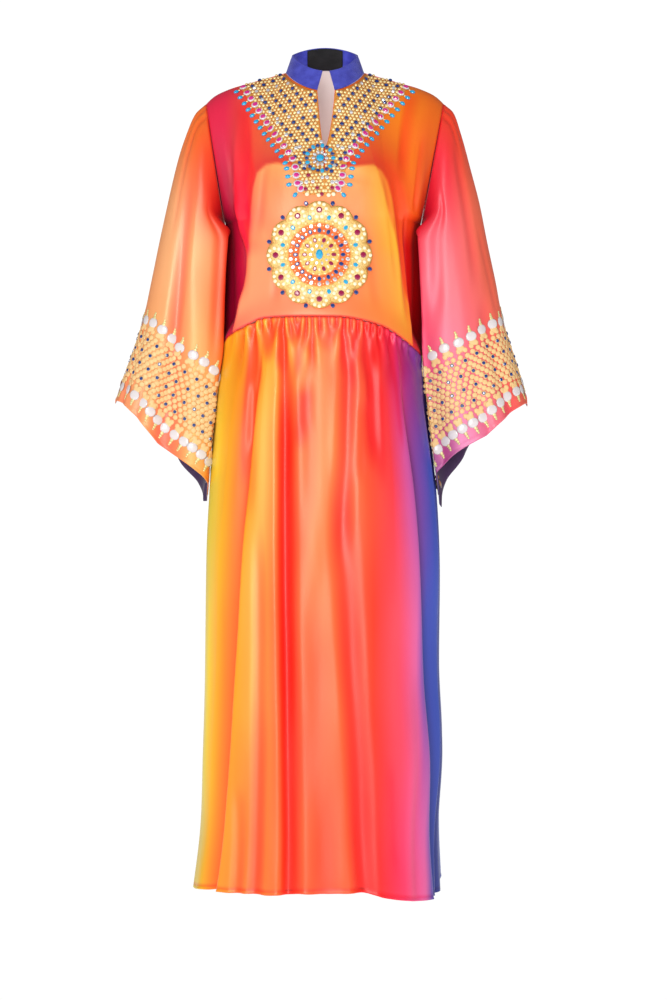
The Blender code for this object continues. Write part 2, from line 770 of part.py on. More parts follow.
def make_collar():
    cloth = Cloth()
    previous = None
    for up in COLLAR_RISES:
        row = []
        for column in range(COLLAR_COLUMNS + 1):
            turn = 2 * column / COLLAR_COLUMNS - 1
            seams = [(0, 0, -1)] if up == 0 else []
            row.append(cloth.point(collar_point(turn, up), *seams))
        if previous:
            cloth.strip(previous[::-1], row[::-1])
        previous = row
    return cloth.build("collar", "blue_satin", COLLAR_CLOTH)


def make_label():
    """A plain woven label that hangs inside the back of the collar."""
    cloth = Cloth()
    previous = None
    for row_number in range(LABEL_ROWS + 1):
        drop = row_number / LABEL_ROWS
        row = []
        for column in range(LABEL_COLUMNS + 1):
            x = LABEL_HALF * (2 * column / LABEL_COLUMNS - 1)
            turn = 0.5 * math.asin(x / NECK_WIDTH) / (math.pi / 2)
            top = collar_point(turn, LABEL_TOP)
            foot = collar_point(turn, 0.0)
            slide = min(1.0, drop * LABEL_HEIGHT / (top.z - foot.z))
            spot = top.lerp(foot, slide)
            spot.z = top.z - drop * LABEL_HEIGHT
            inward = Vector((-spot.x, COLLAR_CENTRE_Y - spot.y, 0)).normalized()
            row.append(cloth.point(spot + inward * (COLLAR_CLOTH + LABEL_GAP)))
        if previous:
            cloth.strip(previous[::-1], row[::-1])
        previous = row
    return cloth.build("neck_label", "black_label", LABEL_CLOTH)


# Beadwork on the front

def front_out(across, down):
    """The way out of the front's surface, from its slope in both directions."""
    step = 0.004
    right = bodice_point(min(across + step, 1), down, False)
    left = bodice_point(max(across - step, -1), down, False)
    low = bodice_point(across, min(down + step, 1), False)
    high = bodice_point(across, max(down - step, 0), False)
    return (low - high).cross(right - left).normalized()


def on_front(x, z):
    """The shares across and down of the front at a place seen from the front."""
    across, down = x / 0.19, min(0.6, -z / 0.5)
    step = 0.002
    for _ in range(40):
        spot = bodice_point(across, down, False)
        beside = bodice_point(across + step, down, False)
        below = bodice_point(across, down + step, False)
        a, b = (beside.x - spot.x) / step, (below.x - spot.x) / step
        c, d = (beside.z - spot.z) / step, (below.z - spot.z) / step
        miss_x, miss_z = x - spot.x, z - spot.z
        area = a * d - b * c
        across += 0.5 * (miss_x * d - b * miss_z) / area
        down += 0.5 * (a * miss_z - c * miss_x) / area
        across = min(0.98, max(-0.98, across))
        down = min(0.98, max(0.0, down))
    return across, down


def laid(side, across, down, lift):
    """A point above the front, for a piece that lies on it. It clears the facets of the
    front as well as the smooth form that they follow."""
    out = front_out(across, down)
    spot = front_facet(side, abs(across), down)
    ahead = (bodice_point(across, down, False) - spot).dot(out)
    return spot + out * (max(0.0, ahead) + LAID_GAP + lift)


def yoke_edge(side, share):
    """Where the yoke's lower edge lies, from the centre at share 0 to the shoulder at 1."""
    lengths = [
        math.hypot(high.half - low.half, high.z - low.z)
        for low, high in zip(YOKE_EDGE, YOKE_EDGE[1:])
    ]
    left = share * sum(lengths)
    for low, high, length in zip(YOKE_EDGE, YOKE_EDGE[1:], lengths):
        if left <= length or high is YOKE_EDGE[-1]:
            break
        left -= length
    run = min(1.0, left / length)
    half = mix(low.half, high.half, run)
    z = mix(low.z, high.z, run)
    tooth = YOKE_TOOTH * (0.5 - 0.5 * math.cos(2 * math.pi * share * YOKE_TEETH))
    half += tooth * (low.z - high.z) / -length
    z -= tooth * (high.half - low.half) / length
    shift = YOKE_SHIFT * ease(-z / 0.15) * ease(half / 0.03)
    return on_front(side * half + shift, z)


def yoke_inside(share):
    """The shares across and down of the yoke's inner line. It goes up the centre and the
    slit and then round the neck."""
    if share <= YOKE_TURN:
        return 1e-6, mix(on_front(0.0, YOKE_CORE)[1], YOKE_TOP, share / YOKE_TURN)
    return NECK_SHARE * (share - YOKE_TURN) / (1 - YOKE_TURN), YOKE_TOP


def make_yoke():
    """The beaded yoke round the neck, one plate that parts at the slit."""
    cloth = Cloth()
    teeth = YOKE_TEETH * 2
    shares = [k / teeth for k in range(teeth)]
    shares += [1 - step / teeth for step in YOKE_END_STEPS]
    edges = {side: [yoke_edge(side, share) for share in shares[:-1]] for side in (-1, 1)}
    columns = len(shares) - 1
    previous = None
    for row in range(YOKE_ROWS + 1):
        halves = []
        for side in (-1, 1):
            half = []
            for column, share in enumerate(shares):
                if column == columns:
                    across, down = side * YOKE_REACH, YOKE_TOP
                else:
                    across, down = edges[side][column]
                across_inside, down_inside = yoke_inside(share)
                across = mix(side * across_inside, across, row / YOKE_ROWS)
                down = mix(down_inside, down, row / YOKE_ROWS)
                if column == 0:
                    across = side * 1e-6
                spot = laid(side, across, down, APPLIQUE)
                central = column == 0 or (row == 0 and share <= YOKE_TURN)
                joined = side > 0 and central and spot.z < -SLIT_DEPTH
                if central and spot.z > -SLIT_DEPTH:
                    spot.x += side * YOKE_INSET
                half.append(halves[0][column] if joined else cloth.point(spot))
            halves.append(half)
        if previous:
            cloth.strip(previous[0][::-1], halves[0][::-1])
            cloth.strip(previous[1], halves[1])
        previous = halves
    return cloth.build("yoke_beading", "gold_beads", APPLIQUE)


def make_medallion():
    """The sewn-on medallion: a lobed oval plate with a domed middle and a domed rim."""
    cloth = Cloth()
    columns = MEDALLION_LOBES * 4
    rows = []
    for ring in (0.0,) + MEDALLION_RINGS:
        row = []
        for column in range(columns if ring else 1):
            turn = 2 * math.pi * column / columns
            lobe = abs(math.cos(turn * MEDALLION_LOBES / 2)) ** 0.7
            reach = ring * (0.91 + 0.09 * lobe * ease((ring - 0.5) / 0.5))
            x = MEDALLION_X + MEDALLION_WIDE * reach * math.sin(turn)
            z = MEDALLION_Z + MEDALLION_TALL * reach * math.cos(turn)
            across, down = on_front(x, z)
            side = 1 if across >= 0 else -1
            row.append(cloth.point(laid(side, across, down, APPLIQUE)))
            rim = MEDALLION_RIM * lobe * math.exp(-(((ring - 0.86) / 0.09) ** 2))
            middle = MEDALLION_DOME * ease(1 - ring / 0.45)
            cloth.raises[row[-1]] = rim + middle
        rows.append(row + row[:1])
    middle = rows[0][0]
    for k in range(columns):
        cloth.faces.append((middle, rows[1][k + 1], rows[1][k]))
    for inner, outer in zip(rows[1:], rows[2:]):
        cloth.strip(inner[::-1], outer[::-1])
    return cloth.build("medallion", "gold_beads", APPLIQUE)


for leftover in list(bpy.data.objects):
    bpy.data.objects.remove(leftover)
garment = bpy.data.collections.new("kaftan")
bpy.context.scene.collection.children.link(garment)

make_bodice(back=False)
make_bodice(back=True)
make_skirt(back=False)
make_skirt(back=True)
make_sleeve(1)
make_sleeve(-1)
make_collar()
make_label()
make_yoke()
make_medallion()
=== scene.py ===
# Long satin kaftan on an unseen wearer: dyed satin panels, beaded yoke, medallion and cuffs.
# Metres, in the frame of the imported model: +Z up, the front faces -Y, the wearer's left is +X.
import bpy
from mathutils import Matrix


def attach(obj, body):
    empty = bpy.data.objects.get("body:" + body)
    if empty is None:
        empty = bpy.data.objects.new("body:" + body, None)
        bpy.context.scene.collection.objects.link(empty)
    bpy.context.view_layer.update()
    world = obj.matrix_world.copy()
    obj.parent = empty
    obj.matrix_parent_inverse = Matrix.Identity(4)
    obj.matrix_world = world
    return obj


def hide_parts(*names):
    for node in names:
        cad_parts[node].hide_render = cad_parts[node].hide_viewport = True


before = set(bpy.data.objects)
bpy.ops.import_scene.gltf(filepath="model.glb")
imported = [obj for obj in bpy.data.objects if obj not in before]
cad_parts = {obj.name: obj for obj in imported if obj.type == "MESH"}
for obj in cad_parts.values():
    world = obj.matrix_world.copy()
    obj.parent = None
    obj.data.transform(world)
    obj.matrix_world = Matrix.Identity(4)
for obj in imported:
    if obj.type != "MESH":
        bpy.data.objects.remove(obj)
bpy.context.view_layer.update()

import math
import bpy
import numpy as np
from mathutils import Vector, noise
from mathutils.bvhtree import BVHTree

scene = bpy.context.scene


def deselectAll():
    if bpy.context.object and bpy.context.object.mode != "OBJECT":
        bpy.ops.object.mode_set(mode="OBJECT")
    bpy.ops.object.select_all(action="DESELECT")


def addObject(name, data):
    piece = bpy.data.objects.new(name, data)
    scene.collection.objects.link(piece)
    return piece


def makeActive(piece):
    deselectAll()
    piece.select_set(True)
    bpy.context.view_layer.objects.active = piece


def smoothStep(share):
    share = np.clip(share, 0.0, 1.0)
    return share * share * (3 - 2 * share)


def blend(low, high, share):
    return low + (high - low) * share


def bell(off, width):
    return np.exp(-((off / width) ** 2))


# A smooth curve from start to end with its slope at both
def hermite(start, end, leave, arrive, t):
    t = t[..., None]
    return (
        start * (2 * t**3 - 3 * t**2 + 1)
        + leave * (t**3 - 2 * t**2 + t)
        + end * (3 * t**2 - 2 * t**3)
        + arrive * (t**3 - t**2)
    )


# The columns of a table at places in its first column, on smooth curves through its rows
def readTable(table, place):
    rows = np.array(sorted(table), float)
    place = np.clip(np.asarray(place, float), rows[0, 0], rows[-1, 0])
    at = np.clip(np.searchsorted(rows[:, 0], place, side="right") - 1, 0, len(rows) - 2)
    low, high = rows[at], rows[at + 1]
    before = rows[np.maximum(at - 1, 0)]
    after = rows[np.minimum(at + 2, len(rows) - 1)]
    span = high[..., :1] - low[..., :1]
    t = (place[..., None] - low[..., :1]) / span
    leave = (high - before) / (high[..., :1] - before[..., :1]) * span
    arrive = (after - low) / (after[..., :1] - low[..., :1]) * span
    return hermite(low, high, leave, arrive, t[..., 0])


# The worn form that every panel follows
body = {
    "seamY": 0.008,
    "power": 0.87,
    "underarm": -0.265,
    # height, half width to the wearer's left and right, depth in front and behind
    "rings": (
        (-0.200, 0.1665, 0.1725, 0.134, 0.104),
        (-0.265, 0.1665, 0.1730, 0.139, 0.102),
        (-0.345, 0.1695, 0.1765, 0.145, 0.099),
        (-0.435, 0.1705, 0.1775, 0.148, 0.103),
        (-0.490, 0.1700, 0.1785, 0.152, 0.110),
        (-0.556, 0.1755, 0.1880, 0.159, 0.122),
        (-0.633, 0.1835, 0.1950, 0.163, 0.130),
        (-0.734, 0.1940, 0.2010, 0.166, 0.138),
        (-0.850, 0.1995, 0.2060, 0.167, 0.145),
        (-1.050, 0.1985, 0.2085, 0.168, 0.152),
        (-1.180, 0.2040, 0.2120, 0.169, 0.156),
        (-1.310, 0.1970, 0.2165, 0.171, 0.160),
        (-1.430, 0.2010, 0.2310, 0.174, 0.165),
    ),
    # angle from the centre front, height
    "waistSeam": (
        (-180, -0.455), (-130, -0.468), (-90, -0.479), (-68, -0.463), (-45, -0.4465),
        (-33, -0.4365), (0, -0.435), (12, -0.437), (33, -0.451), (51, -0.472),
        (66, -0.487), (90, -0.500), (130, -0.474), (180, -0.455),
    ),
    "hem": (
        (-180, -1.400), (-120, -1.402), (-90, -1.412), (-55, -1.405), (-20, -1.403),
        (15, -1.400), (35, -1.415), (55, -1.421), (90, -1.420), (125, -1.402), (180, -1.400),
    ),
}


def ringPoint(z, angle):
    section = readTable(body["rings"], z)
    across, ahead = np.sin(np.radians(angle)), np.cos(np.radians(angle))
    half = np.where(across > 0, section[..., 1], section[..., 2])
    depth = np.where(ahead > 0, section[..., 3], section[..., 4])
    x = np.sign(across) * np.abs(across) ** body["power"] * half
    y = body["seamY"] - np.sign(ahead) * np.abs(ahead) ** body["power"] * depth
    return np.stack([x, y, z + 0 * x], -1)


def wayOut(angle):
    turn = np.radians(angle)
    return np.stack([np.sin(turn), -np.cos(turn), 0 * turn], -1)


def wrapAngle(angle):
    return np.where(angle > 180, angle - 360, angle)


# How deep a panel's folds press in. A fold has its start and end down the cloth, its angle
# at both, its reach to either side, its depth at both ends, and where it isn't soft the
# power of its wave on either side: 1 is a soft slope and 0.5 one that ends in a crisp edge.
def foldDepth(folds, share, angle):
    depth = np.zeros(np.broadcast(share, angle).shape)
    for start, end, angleStart, angleEnd, before, after, deepStart, deepEnd, *powers in folds:
        run = (share - start) / (end - start)
        off = angle - blend(angleStart, angleEnd, np.clip(run, 0, 1))
        reach = np.where(off > 0, after, before)
        powers = powers or (1.0,)
        power = np.where(off > 0, powers[-1], powers[0])
        fade = smoothStep(run / 0.22)
        if end < 1:
            fade = fade * smoothStep((1 - run) / 0.30)
        wave = (0.5 + 0.5 * np.cos(np.pi * np.clip(off / reach, -1, 1))) ** power
        inside = (run >= 0) & (run <= 1)
        deep = np.where(inside, blend(deepStart, deepEnd, run) * fade, 0.0)
        depth += deep * wave
        # beyond a crisp edge the cloth stands up in a lip
        for way, wide in ((-1, before), (1, after)):
            beyond = way * off - wide
            if wide < 4.0:
                beyond = np.maximum(beyond, 0)
                depth -= deep * 0.40 * np.exp(-beyond / 6.0) * (1 - np.exp(-beyond / 1.0))
    return depth


# How far cloth stands out along a crease drawn on the front by its places x, z. It falls
# away fast on the outer side of the line and slowly on the inner side. Also its painted
# shade: deep colour just outside the line and a paler painted highlight on its inner side.
def creaseLift(line, x, z, inner, outer, height):
    nearest = np.full(x.shape, 9.0)
    for (ax, az), (bx, bz) in zip(line, line[1:]):
        reached = (x - ax) * (bx - ax) + (z - az) * (bz - az)
        along = np.clip(reached / ((bx - ax) ** 2 + (bz - az) ** 2), 0, 1)
        offX, offZ = x - blend(ax, bx, along), z - blend(az, bz, along)
        side = np.sign((bx - ax) * offZ - (bz - az) * offX)
        off = np.hypot(offX, offZ) * side
        nearest = np.where(np.abs(off) < np.abs(nearest), off, nearest)
    gone = np.where(nearest > 0, nearest / inner, -nearest / outer)
    # a painted highlight just inside the line and painted shade outside it
    pale = -0.5 * np.exp(-np.abs(nearest) / inner)
    deep = np.exp(-np.abs(nearest) / (3.2 * outer))
    tone = blend(deep, pale, smoothStep(nearest / 0.009 + 0.5))
    return height * np.exp(-gone), 1.25 * height * tone


# Slow uneven swells of the cloth, longer down it than across
def swells(points, across, down, seed):
    flat = points.reshape(-1, 3)
    values = [
        noise.noise(Vector((p[0] / across + seed, p[1] / across, p[2] / down))) for p in flat
    ]
    return np.array(values).reshape(points.shape[:-1])


def gridNormals(points):
    down = np.gradient(points, axis=0)
    across = np.gradient(points, axis=1)
    out = np.cross(down, across)
    return out / np.maximum(np.linalg.norm(out, axis=-1, keepdims=True), 1e-12)


# A sheet of cloth from grids of points, given its thickness inwards. Each grid brings its
# places in the dye and the painted shade of each point, deepest in folds and along seams. Grids that meet are
# joined.
def makePanel(name, grids, finishes, thickness, closed=False, turned=False):
    spots, faces, dyes, folds = [], [], [], []
    for points, dye, paintedShade in grids:
        rows, columns = points.shape[:2]
        first = len(spots)
        spots += points.reshape(-1, 3).tolist()
        dyes += dye.reshape(-1, 2).tolist()
        folds.append(np.clip(paintedShade / satin["foldDepth"], -0.4, 2).ravel())
        number = first + np.arange(rows * columns).reshape(rows, columns)
        corners = [number[:-1, :-1], number[1:, :-1], number[1:, 1:], number[:-1, 1:]]
        if turned:
            corners.reverse()
        faces += np.stack([c.ravel() for c in corners], -1).tolist()
    mesh = bpy.data.meshes.new(name)
    mesh.from_pydata(spots, [], faces)
    layer = mesh.uv_layers.new(name="dye")
    order = np.array([v for face in faces for v in face])
    layer.data.foreach_set("uv", np.array(dyes, np.float32)[order].ravel())
    # the painted shade goes to the satin as a point attribute, in shares of a fold's full shade
    depths = mesh.attributes.new("paintedShade", "FLOAT", "POINT")
    depths.data.foreach_set("value", np.concatenate(folds).astype(np.float32))
    for finish in finishes:
        mesh.materials.append(finish)
    piece = addObject(name, mesh)
    makeActive(piece)
    if closed or len(grids) > 1:
        bpy.ops.object.mode_set(mode="EDIT")
        bpy.ops.mesh.select_all(action="SELECT")
        bpy.ops.mesh.remove_doubles(threshold=0.00004)
        bpy.ops.object.mode_set(mode="OBJECT")
    bpy.ops.object.modifier_add(type="SOLIDIFY")
    wall = piece.modifiers[-1]
    wall.thickness = thickness
    wall.offset = -1
    wall.use_even_offset = False
    wall.material_offset = len(finishes) - 1
    bpy.ops.object.modifier_apply(modifier=wall.name)
    bpy.ops.object.shade_smooth()
    return piece


# Materials


def linear(code):
    parts = [int(code[k : k + 2], 16) / 255 for k in (1, 3, 5)]
    return [c / 12.92 if c <= 0.04045 else ((c + 0.055) / 1.055) ** 2.4 for c in parts] + [1.0]


class NodeBench:
    def __init__(self, name):
        self.material = bpy.data.materials.new(name)
        self.material.use_nodes = True
        self.tree = self.material.node_tree
        self.shader = self.tree.nodes["Principled BSDF"]

    def feed(self, socket, value):
        if isinstance(value, bpy.types.NodeSocket):
            self.tree.links.new(value, socket)
        else:
            socket.default_value = value

    def add(self, kind, inputs=(), **settings):
        node = self.tree.nodes.new(kind)
        for key, value in settings.items():
            setattr(node, key, value)
        for key, value in dict(inputs).items():
            self.feed(node.inputs[key], value)
        return node

    def maths(self, operation, first, second=0.0):
        return self.add("ShaderNodeMath", {0: first, 1: second}, operation=operation).outputs[0]

    def ramp(self, factor, stops):
        node = self.add("ShaderNodeValToRGB", {"Fac": factor})
        elements = node.color_ramp.elements
        while len(elements) < len(stops):
            elements.new(0.5)
        for element, (place, code) in zip(elements, stops):
            element.position = place
            element.color = linear(code)
        return node.outputs["Color"]

    def mixColours(self, factor, first, second, way="MIX"):
        node = self.add("ShaderNodeMix", data_type="RGBA", blend_type=way)
        for number, value in ((0, factor), (6, first), (7, second)):
            self.feed(node.inputs[number], value)
        return node.outputs[2]

    def noise(self, scale, stretch=(1, 1, 1), detail=2.0):
        where = self.add("ShaderNodeTexCoord").outputs["Object"]
        mapped = self.add("ShaderNodeMapping", {"Vector": where, "Scale": stretch})
        inputs = {"Vector": mapped.outputs[0], "Scale": scale, "Detail": detail}
        return self.add("ShaderNodeTexNoise", inputs).outputs["Fac"]

    def finish(self, **sockets):
        names = {
            "colour": "Base Color", "roughness": "Roughness", "metallic": "Metallic",
            "specular": "Specular IOR Level", "sheen": "Sheen Weight",
            "sheenRoughness": "Sheen Roughness", "coat": "Coat Weight",
            "coatRoughness": "Coat Roughness", "normal": "Normal", "refraction": "IOR",
            "glow": "Emission Color", "glowStrength": "Emission Strength",
        }
        for key, value in sockets.items():
            self.feed(self.shader.inputs[names[key]], value)
        return self.material


satin = {
    "thickness": 0.0012,
    "roughness": 0.40,
    "metallic": 0.12,
    "specular": 0.55,
    "refraction": 1.50,
    "sheen": 0.03,
    "foldDepth": 0.009,      # the depth at which a fold gets its full painted shade
    "foldTone": 0.30,        # how much green and blue the painted fold shade leaves there
    "seamShadeStrength": 0.75,        # how dark the painted shade along a seam is
    "bleed": 0.030,         # how far the dyes wander across the cloth
    "threadScale": 900.0,
    "threadDepth": 0.00006,
    "rippleScale": 24.0,
    "rippleDepth": 0.0016,
}


# Satin dyed in bands: each band has its place down the cloth and its colours across it. The
# colours carry painted shade as well as the print, and the point attribute paints more shade
# into folds and along seams, and a painted highlight beside creases.
def dyedSatinWithPaintedShade(name, bands):
    bench = NodeBench(name)
    dye = bench.add("ShaderNodeUVMap", uv_map="dye").outputs[0]
    split = bench.add("ShaderNodeSeparateXYZ", {0: dye})
    wander = bench.maths("SUBTRACT", bench.noise(5.0, (1, 1, 0.35), 3.0), 0.5)
    across = bench.maths("ADD", split.outputs[0], bench.maths("MULTIPLY", wander, satin["bleed"]))
    colour = bench.ramp(across, bands[0][1])
    for (above, _), (below, stops) in zip(bands, bands[1:]):
        inputs = {"Value": split.outputs[1], "From Min": above, "From Max": below}
        share = bench.add("ShaderNodeMapRange", inputs, interpolation_type="SMOOTHSTEP")
        colour = bench.mixColours(share.outputs[0], colour, bench.ramp(across, stops))
    cloud = bench.noise(9.0, (1, 1, 0.4), 4.0)
    pale = bench.ramp(cloud, ((0.30, "#F2F2F2"), (0.70, "#FFFFFF")))
    colour = bench.mixColours(1.0, colour, pale, "MULTIPLY")
    # painted shade: green and blue fall with the fold shade, rise as a painted highlight below zero, and all
    # three darken along seams
    depth = bench.add("ShaderNodeAttribute", attribute_name="paintedShade").outputs["Fac"]
    tone = bench.maths("POWER", satin["foldTone"], bench.maths("MINIMUM", depth, 1.0))
    seamShade = bench.maths("MAXIMUM", bench.maths("SUBTRACT", depth, 1.0), 0.0)
    dim = bench.maths("SUBTRACT", 1.0, bench.maths("MULTIPLY", seamShade, satin["seamShadeStrength"]))
    split = bench.add("ShaderNodeSeparateColor", {0: colour})
    red = bench.maths("MULTIPLY", split.outputs[0], dim)
    green = bench.maths("MULTIPLY", bench.maths("MULTIPLY", split.outputs[1], tone), dim)
    lower = bench.maths("ADD", bench.maths("MULTIPLY", tone, 0.6), 0.4)
    blue = bench.maths("MULTIPLY", bench.maths("MULTIPLY", split.outputs[2], lower), dim)
    colour = bench.add("ShaderNodeCombineColor", {0: red, 1: green, 2: blue}).outputs[0]
    threads = bench.noise(satin["threadScale"], (1.0, 1.0, 0.06), 1.0)
    ripples = bench.noise(satin["rippleScale"], (1.0, 1.0, 0.30), 2.0)
    fine = bench.add("ShaderNodeBump", {
        "Height": threads, "Distance": satin["threadDepth"], "Strength": 0.5})
    broad = bench.add("ShaderNodeBump", {
        "Height": ripples, "Distance": satin["rippleDepth"], "Strength": 0.5,
        "Normal": fine.outputs[0]})
    rough = bench.add("ShaderNodeMapRange", {
        "Value": bench.noise(14.0, (1, 1, 0.5), 3.0),
        "To Min": satin["roughness"] - 0.03, "To Max": satin["roughness"] + 0.05})
    return bench.finish(
        colour=colour, roughness=rough.outputs[0], metallic=satin["metallic"],
        specular=satin["specular"], sheen=satin["sheen"], sheenRoughness=0.35, refraction=satin["refraction"],
        normal=broad.outputs[0])


# The unprinted reverse of the satin, duller and paler. Its glow is the light that comes
# through the thin cloth.
def reverseSatin(name, code, mottle, glow):
    bench = NodeBench(name)
    cloud = bench.noise(12.0, (1, 1, 0.5), 3.0)
    colour = bench.ramp(cloud, ((0.35, code), (0.68, mottle)))
    threads = bench.noise(700.0, (1.0, 1.0, 0.1), 1.0)
    weave = bench.add("ShaderNodeBump", {"Height": threads, "Distance": 0.0001, "Strength": 0.6})
    return bench.finish(
        colour=colour, roughness=0.6, specular=0.3, sheen=0.2, sheenRoughness=0.5,
        normal=weave.outputs[0], glow=colour, glowStrength=glow)


# A bead's colour is painted darker round its foot than on its crown: painted shade, which on the printed cuff
# balls also stands for the print's own dark outlines
def gloss(name, code, darker, roughness, metallic=0.0, specular=0.5, coat=0.0, scale=160.0):
    bench = NodeBench(name)
    cloud = bench.noise(scale, (1, 1, 1), 2.0)
    crown = bench.add("ShaderNodeAttribute", attribute_name="crown").outputs["Fac"]
    height = bench.maths("ADD", crown, bench.maths("MULTIPLY", cloud, 0.3))
    colour = bench.ramp(height, ((0.18, darker), (0.62, code)))
    dents = bench.add("ShaderNodeBump", {"Height": cloud, "Distance": 0.0002, "Strength": 0.3})
    return bench.finish(
        colour=colour, roughness=roughness, metallic=metallic, specular=specular, coat=coat,
        coatRoughness=0.06, normal=dents.outputs[0])


# From the band at 0.52 down, the maroon and crimson stops left of about 0.19 and the dark reds at the right
# end are painted shade where the front turns back to the sides; the rest is the print.
bodiceFrontSatin = dyedSatinWithPaintedShade("bodiceFrontSatin", (
    (0.10, ((0.0, "#F5204A"), (0.12, "#FA2850"), (0.22, "#FF5034"), (0.40, "#FF7828"),
            (0.55, "#FF7820"), (0.70, "#FF7818"), (0.88, "#FF8A0C"), (1.0, "#FA7014"))),
    (0.52, ((0.0, "#780428"), (0.12, "#A80640"), (0.172, "#A00838"), (0.192, "#F81444"), (0.255, "#FF1C48"),
            (0.275, "#FF5444"), (0.36, "#FF8858"), (0.60, "#FF8A50"), (0.76, "#FF8A24"), (0.90, "#FF9010"),
            (0.96, "#F0680C"), (1.0, "#C0300A"))),
    (0.66, ((0.0, "#800428"), (0.10, "#B80440"), (0.150, "#C80448"), (0.182, "#880020"), (0.194, "#F00C44"),
            (0.210, "#FF2850"), (0.224, "#FF6048"), (0.30, "#FF8C5C"), (0.60, "#FF8A50"), (0.76, "#FF8A24"),
            (0.836, "#FF900C"), (0.844, "#D00C04"), (0.92, "#F01004"), (1.0, "#A80414"))),
    (0.74, ((0.0, "#70042C"), (0.07, "#C8004C"), (0.13, "#D00850"), (0.184, "#900430"), (0.194, "#FF7C58"),
            (0.28, "#FF8C60"), (0.60, "#FF8A50"), (0.76, "#FF8A30"), (0.836, "#FF8A10"), (0.844, "#E00A04"),
            (0.92, "#F00A04"), (1.0, "#A80414"))),
    (0.95, ((0.0, "#600430"), (0.08, "#B00044"), (0.15, "#D00450"), (0.186, "#B8044C"), (0.194, "#FF7A5C"),
            (0.30, "#FF8860"), (0.50, "#FF8250"), (0.68, "#FF8438"), (0.80, "#FF9428"), (0.836, "#FF8A20"),
            (0.844, "#E00A04"), (0.92, "#B80A0C"), (1.0, "#900418"))),
))
bodiceBackSatin = dyedSatinWithPaintedShade("bodiceBackSatin", (
    (0.10, ((0.0, "#FF7A10"), (0.3, "#FF6420"), (0.6, "#FF4A38"), (1.0, "#F02050"))),
    (0.90, ((0.0, "#E83008"), (0.25, "#FF6A14"), (0.55, "#FF5A34"), (0.8, "#F42848"),
            (1.0, "#9C0838"))),
))
# The front's colours are the print with painted shade in them: the red stops between paler ones, near 0.41
# and from 0.60 to 0.66, are painted shade in fold troughs over the print's orange and red.
skirtFrontSatin = dyedSatinWithPaintedShade("skirtFrontSatin", (
    (0.03, ((0.0, "#E8A008"), (0.14, "#FFA60A"), (0.24, "#FF8C06"), (0.36, "#FF8422"),
            (0.50, "#FF6A38"), (0.60, "#FF5030"), (0.66, "#F81C1C"), (0.72, "#E81450"),
            (0.78, "#B02078"), (0.86, "#6C2C90"), (1.0, "#34308C"))),
    (0.24, ((0.0, "#E8C40C"), (0.13, "#FFCC24"), (0.23, "#FF9004"), (0.30, "#FF8204"),
            (0.35, "#FF9444"), (0.41, "#FF3808"), (0.50, "#FF7438"), (0.60, "#FF4420"), (0.68, "#FF2C38"),
            (0.74, "#D84088"), (0.79, "#8C409C"), (0.87, "#3C48B4"), (1.0, "#2A3CA0"))),
    (0.55, ((0.0, "#E0C410"), (0.10, "#FFCC20"), (0.19, "#FF9404"), (0.27, "#FF8000"),
            (0.33, "#FF8638"), (0.41, "#FF2C08"), (0.50, "#FF5E28"), (0.62, "#FF2C10"), (0.70, "#FF4058"),
            (0.765, "#EC5090"), (0.79, "#8C48A4"), (0.84, "#3C50B8"), (1.0, "#24348C"))),
    (1.00, ((0.0, "#D8BC10"), (0.08, "#F0C020"), (0.16, "#FF9808"), (0.22, "#FF8214"),
            (0.30, "#FF6E24"), (0.42, "#FF4C18"), (0.54, "#FF4A1C"), (0.64, "#FF1C20"), (0.72, "#FF2858"),
            (0.81, "#E85898"), (0.835, "#7048A0"), (0.87, "#3448A8"), (1.0, "#24308C"))),
))
skirtBackSatin = dyedSatinWithPaintedShade("skirtBackSatin", (
    (0.05, ((0.0, "#34308C"), (0.15, "#6A2C88"), (0.30, "#D01848"), (0.50, "#FF4418"),
            (0.72, "#FF7A10"), (1.0, "#F0A808"))),
    (0.95, ((0.0, "#24308C"), (0.14, "#3A40A8"), (0.27, "#B04098"), (0.42, "#F82C50"),
            (0.60, "#FF4A20"), (0.78, "#FF8A0C"), (1.0, "#E0BC14"))),
))
# across a sleeve: over the arm at 0, its front at a quarter, under it at a half
# The dark reds, maroons and navies round a half, under the arm, are partly the print and partly painted shade
# where the sleeve turns to the body.
sleeveRightSatin = dyedSatinWithPaintedShade("sleeveRightSatin", (
    (0.04, ((0.0, "#FF7A2C"), (0.10, "#FF7028"), (0.22, "#FC4820"), (0.36, "#E81818"),
            (0.50, "#A80C20"), (0.70, "#E83818"), (1.0, "#FF7A2C"))),
    (0.40, ((0.0, "#FF9C64"), (0.12, "#FFA874"), (0.22, "#FF9C68"), (0.29, "#FF8448"),
            (0.34, "#F83008"), (0.42, "#E00C08"), (0.50, "#8C0C18"), (0.72, "#F85A20"), (1.0, "#FF9C64"))),
    (0.82, ((0.0, "#FF9860"), (0.14, "#FFA468"), (0.28, "#FFA858"), (0.38, "#FF8418"),
            (0.45, "#C84808"), (0.52, "#70203C"), (0.74, "#F86028"), (1.0, "#FF9860"))),
    (1.00, ((0.0, "#FC8C60"), (0.16, "#FF9464"), (0.30, "#FFA858"), (0.38, "#F08C28"),
            (0.44, "#50305A"), (0.54, "#30204A"), (0.74, "#D85838"), (1.0, "#FC7C4C"))),
))
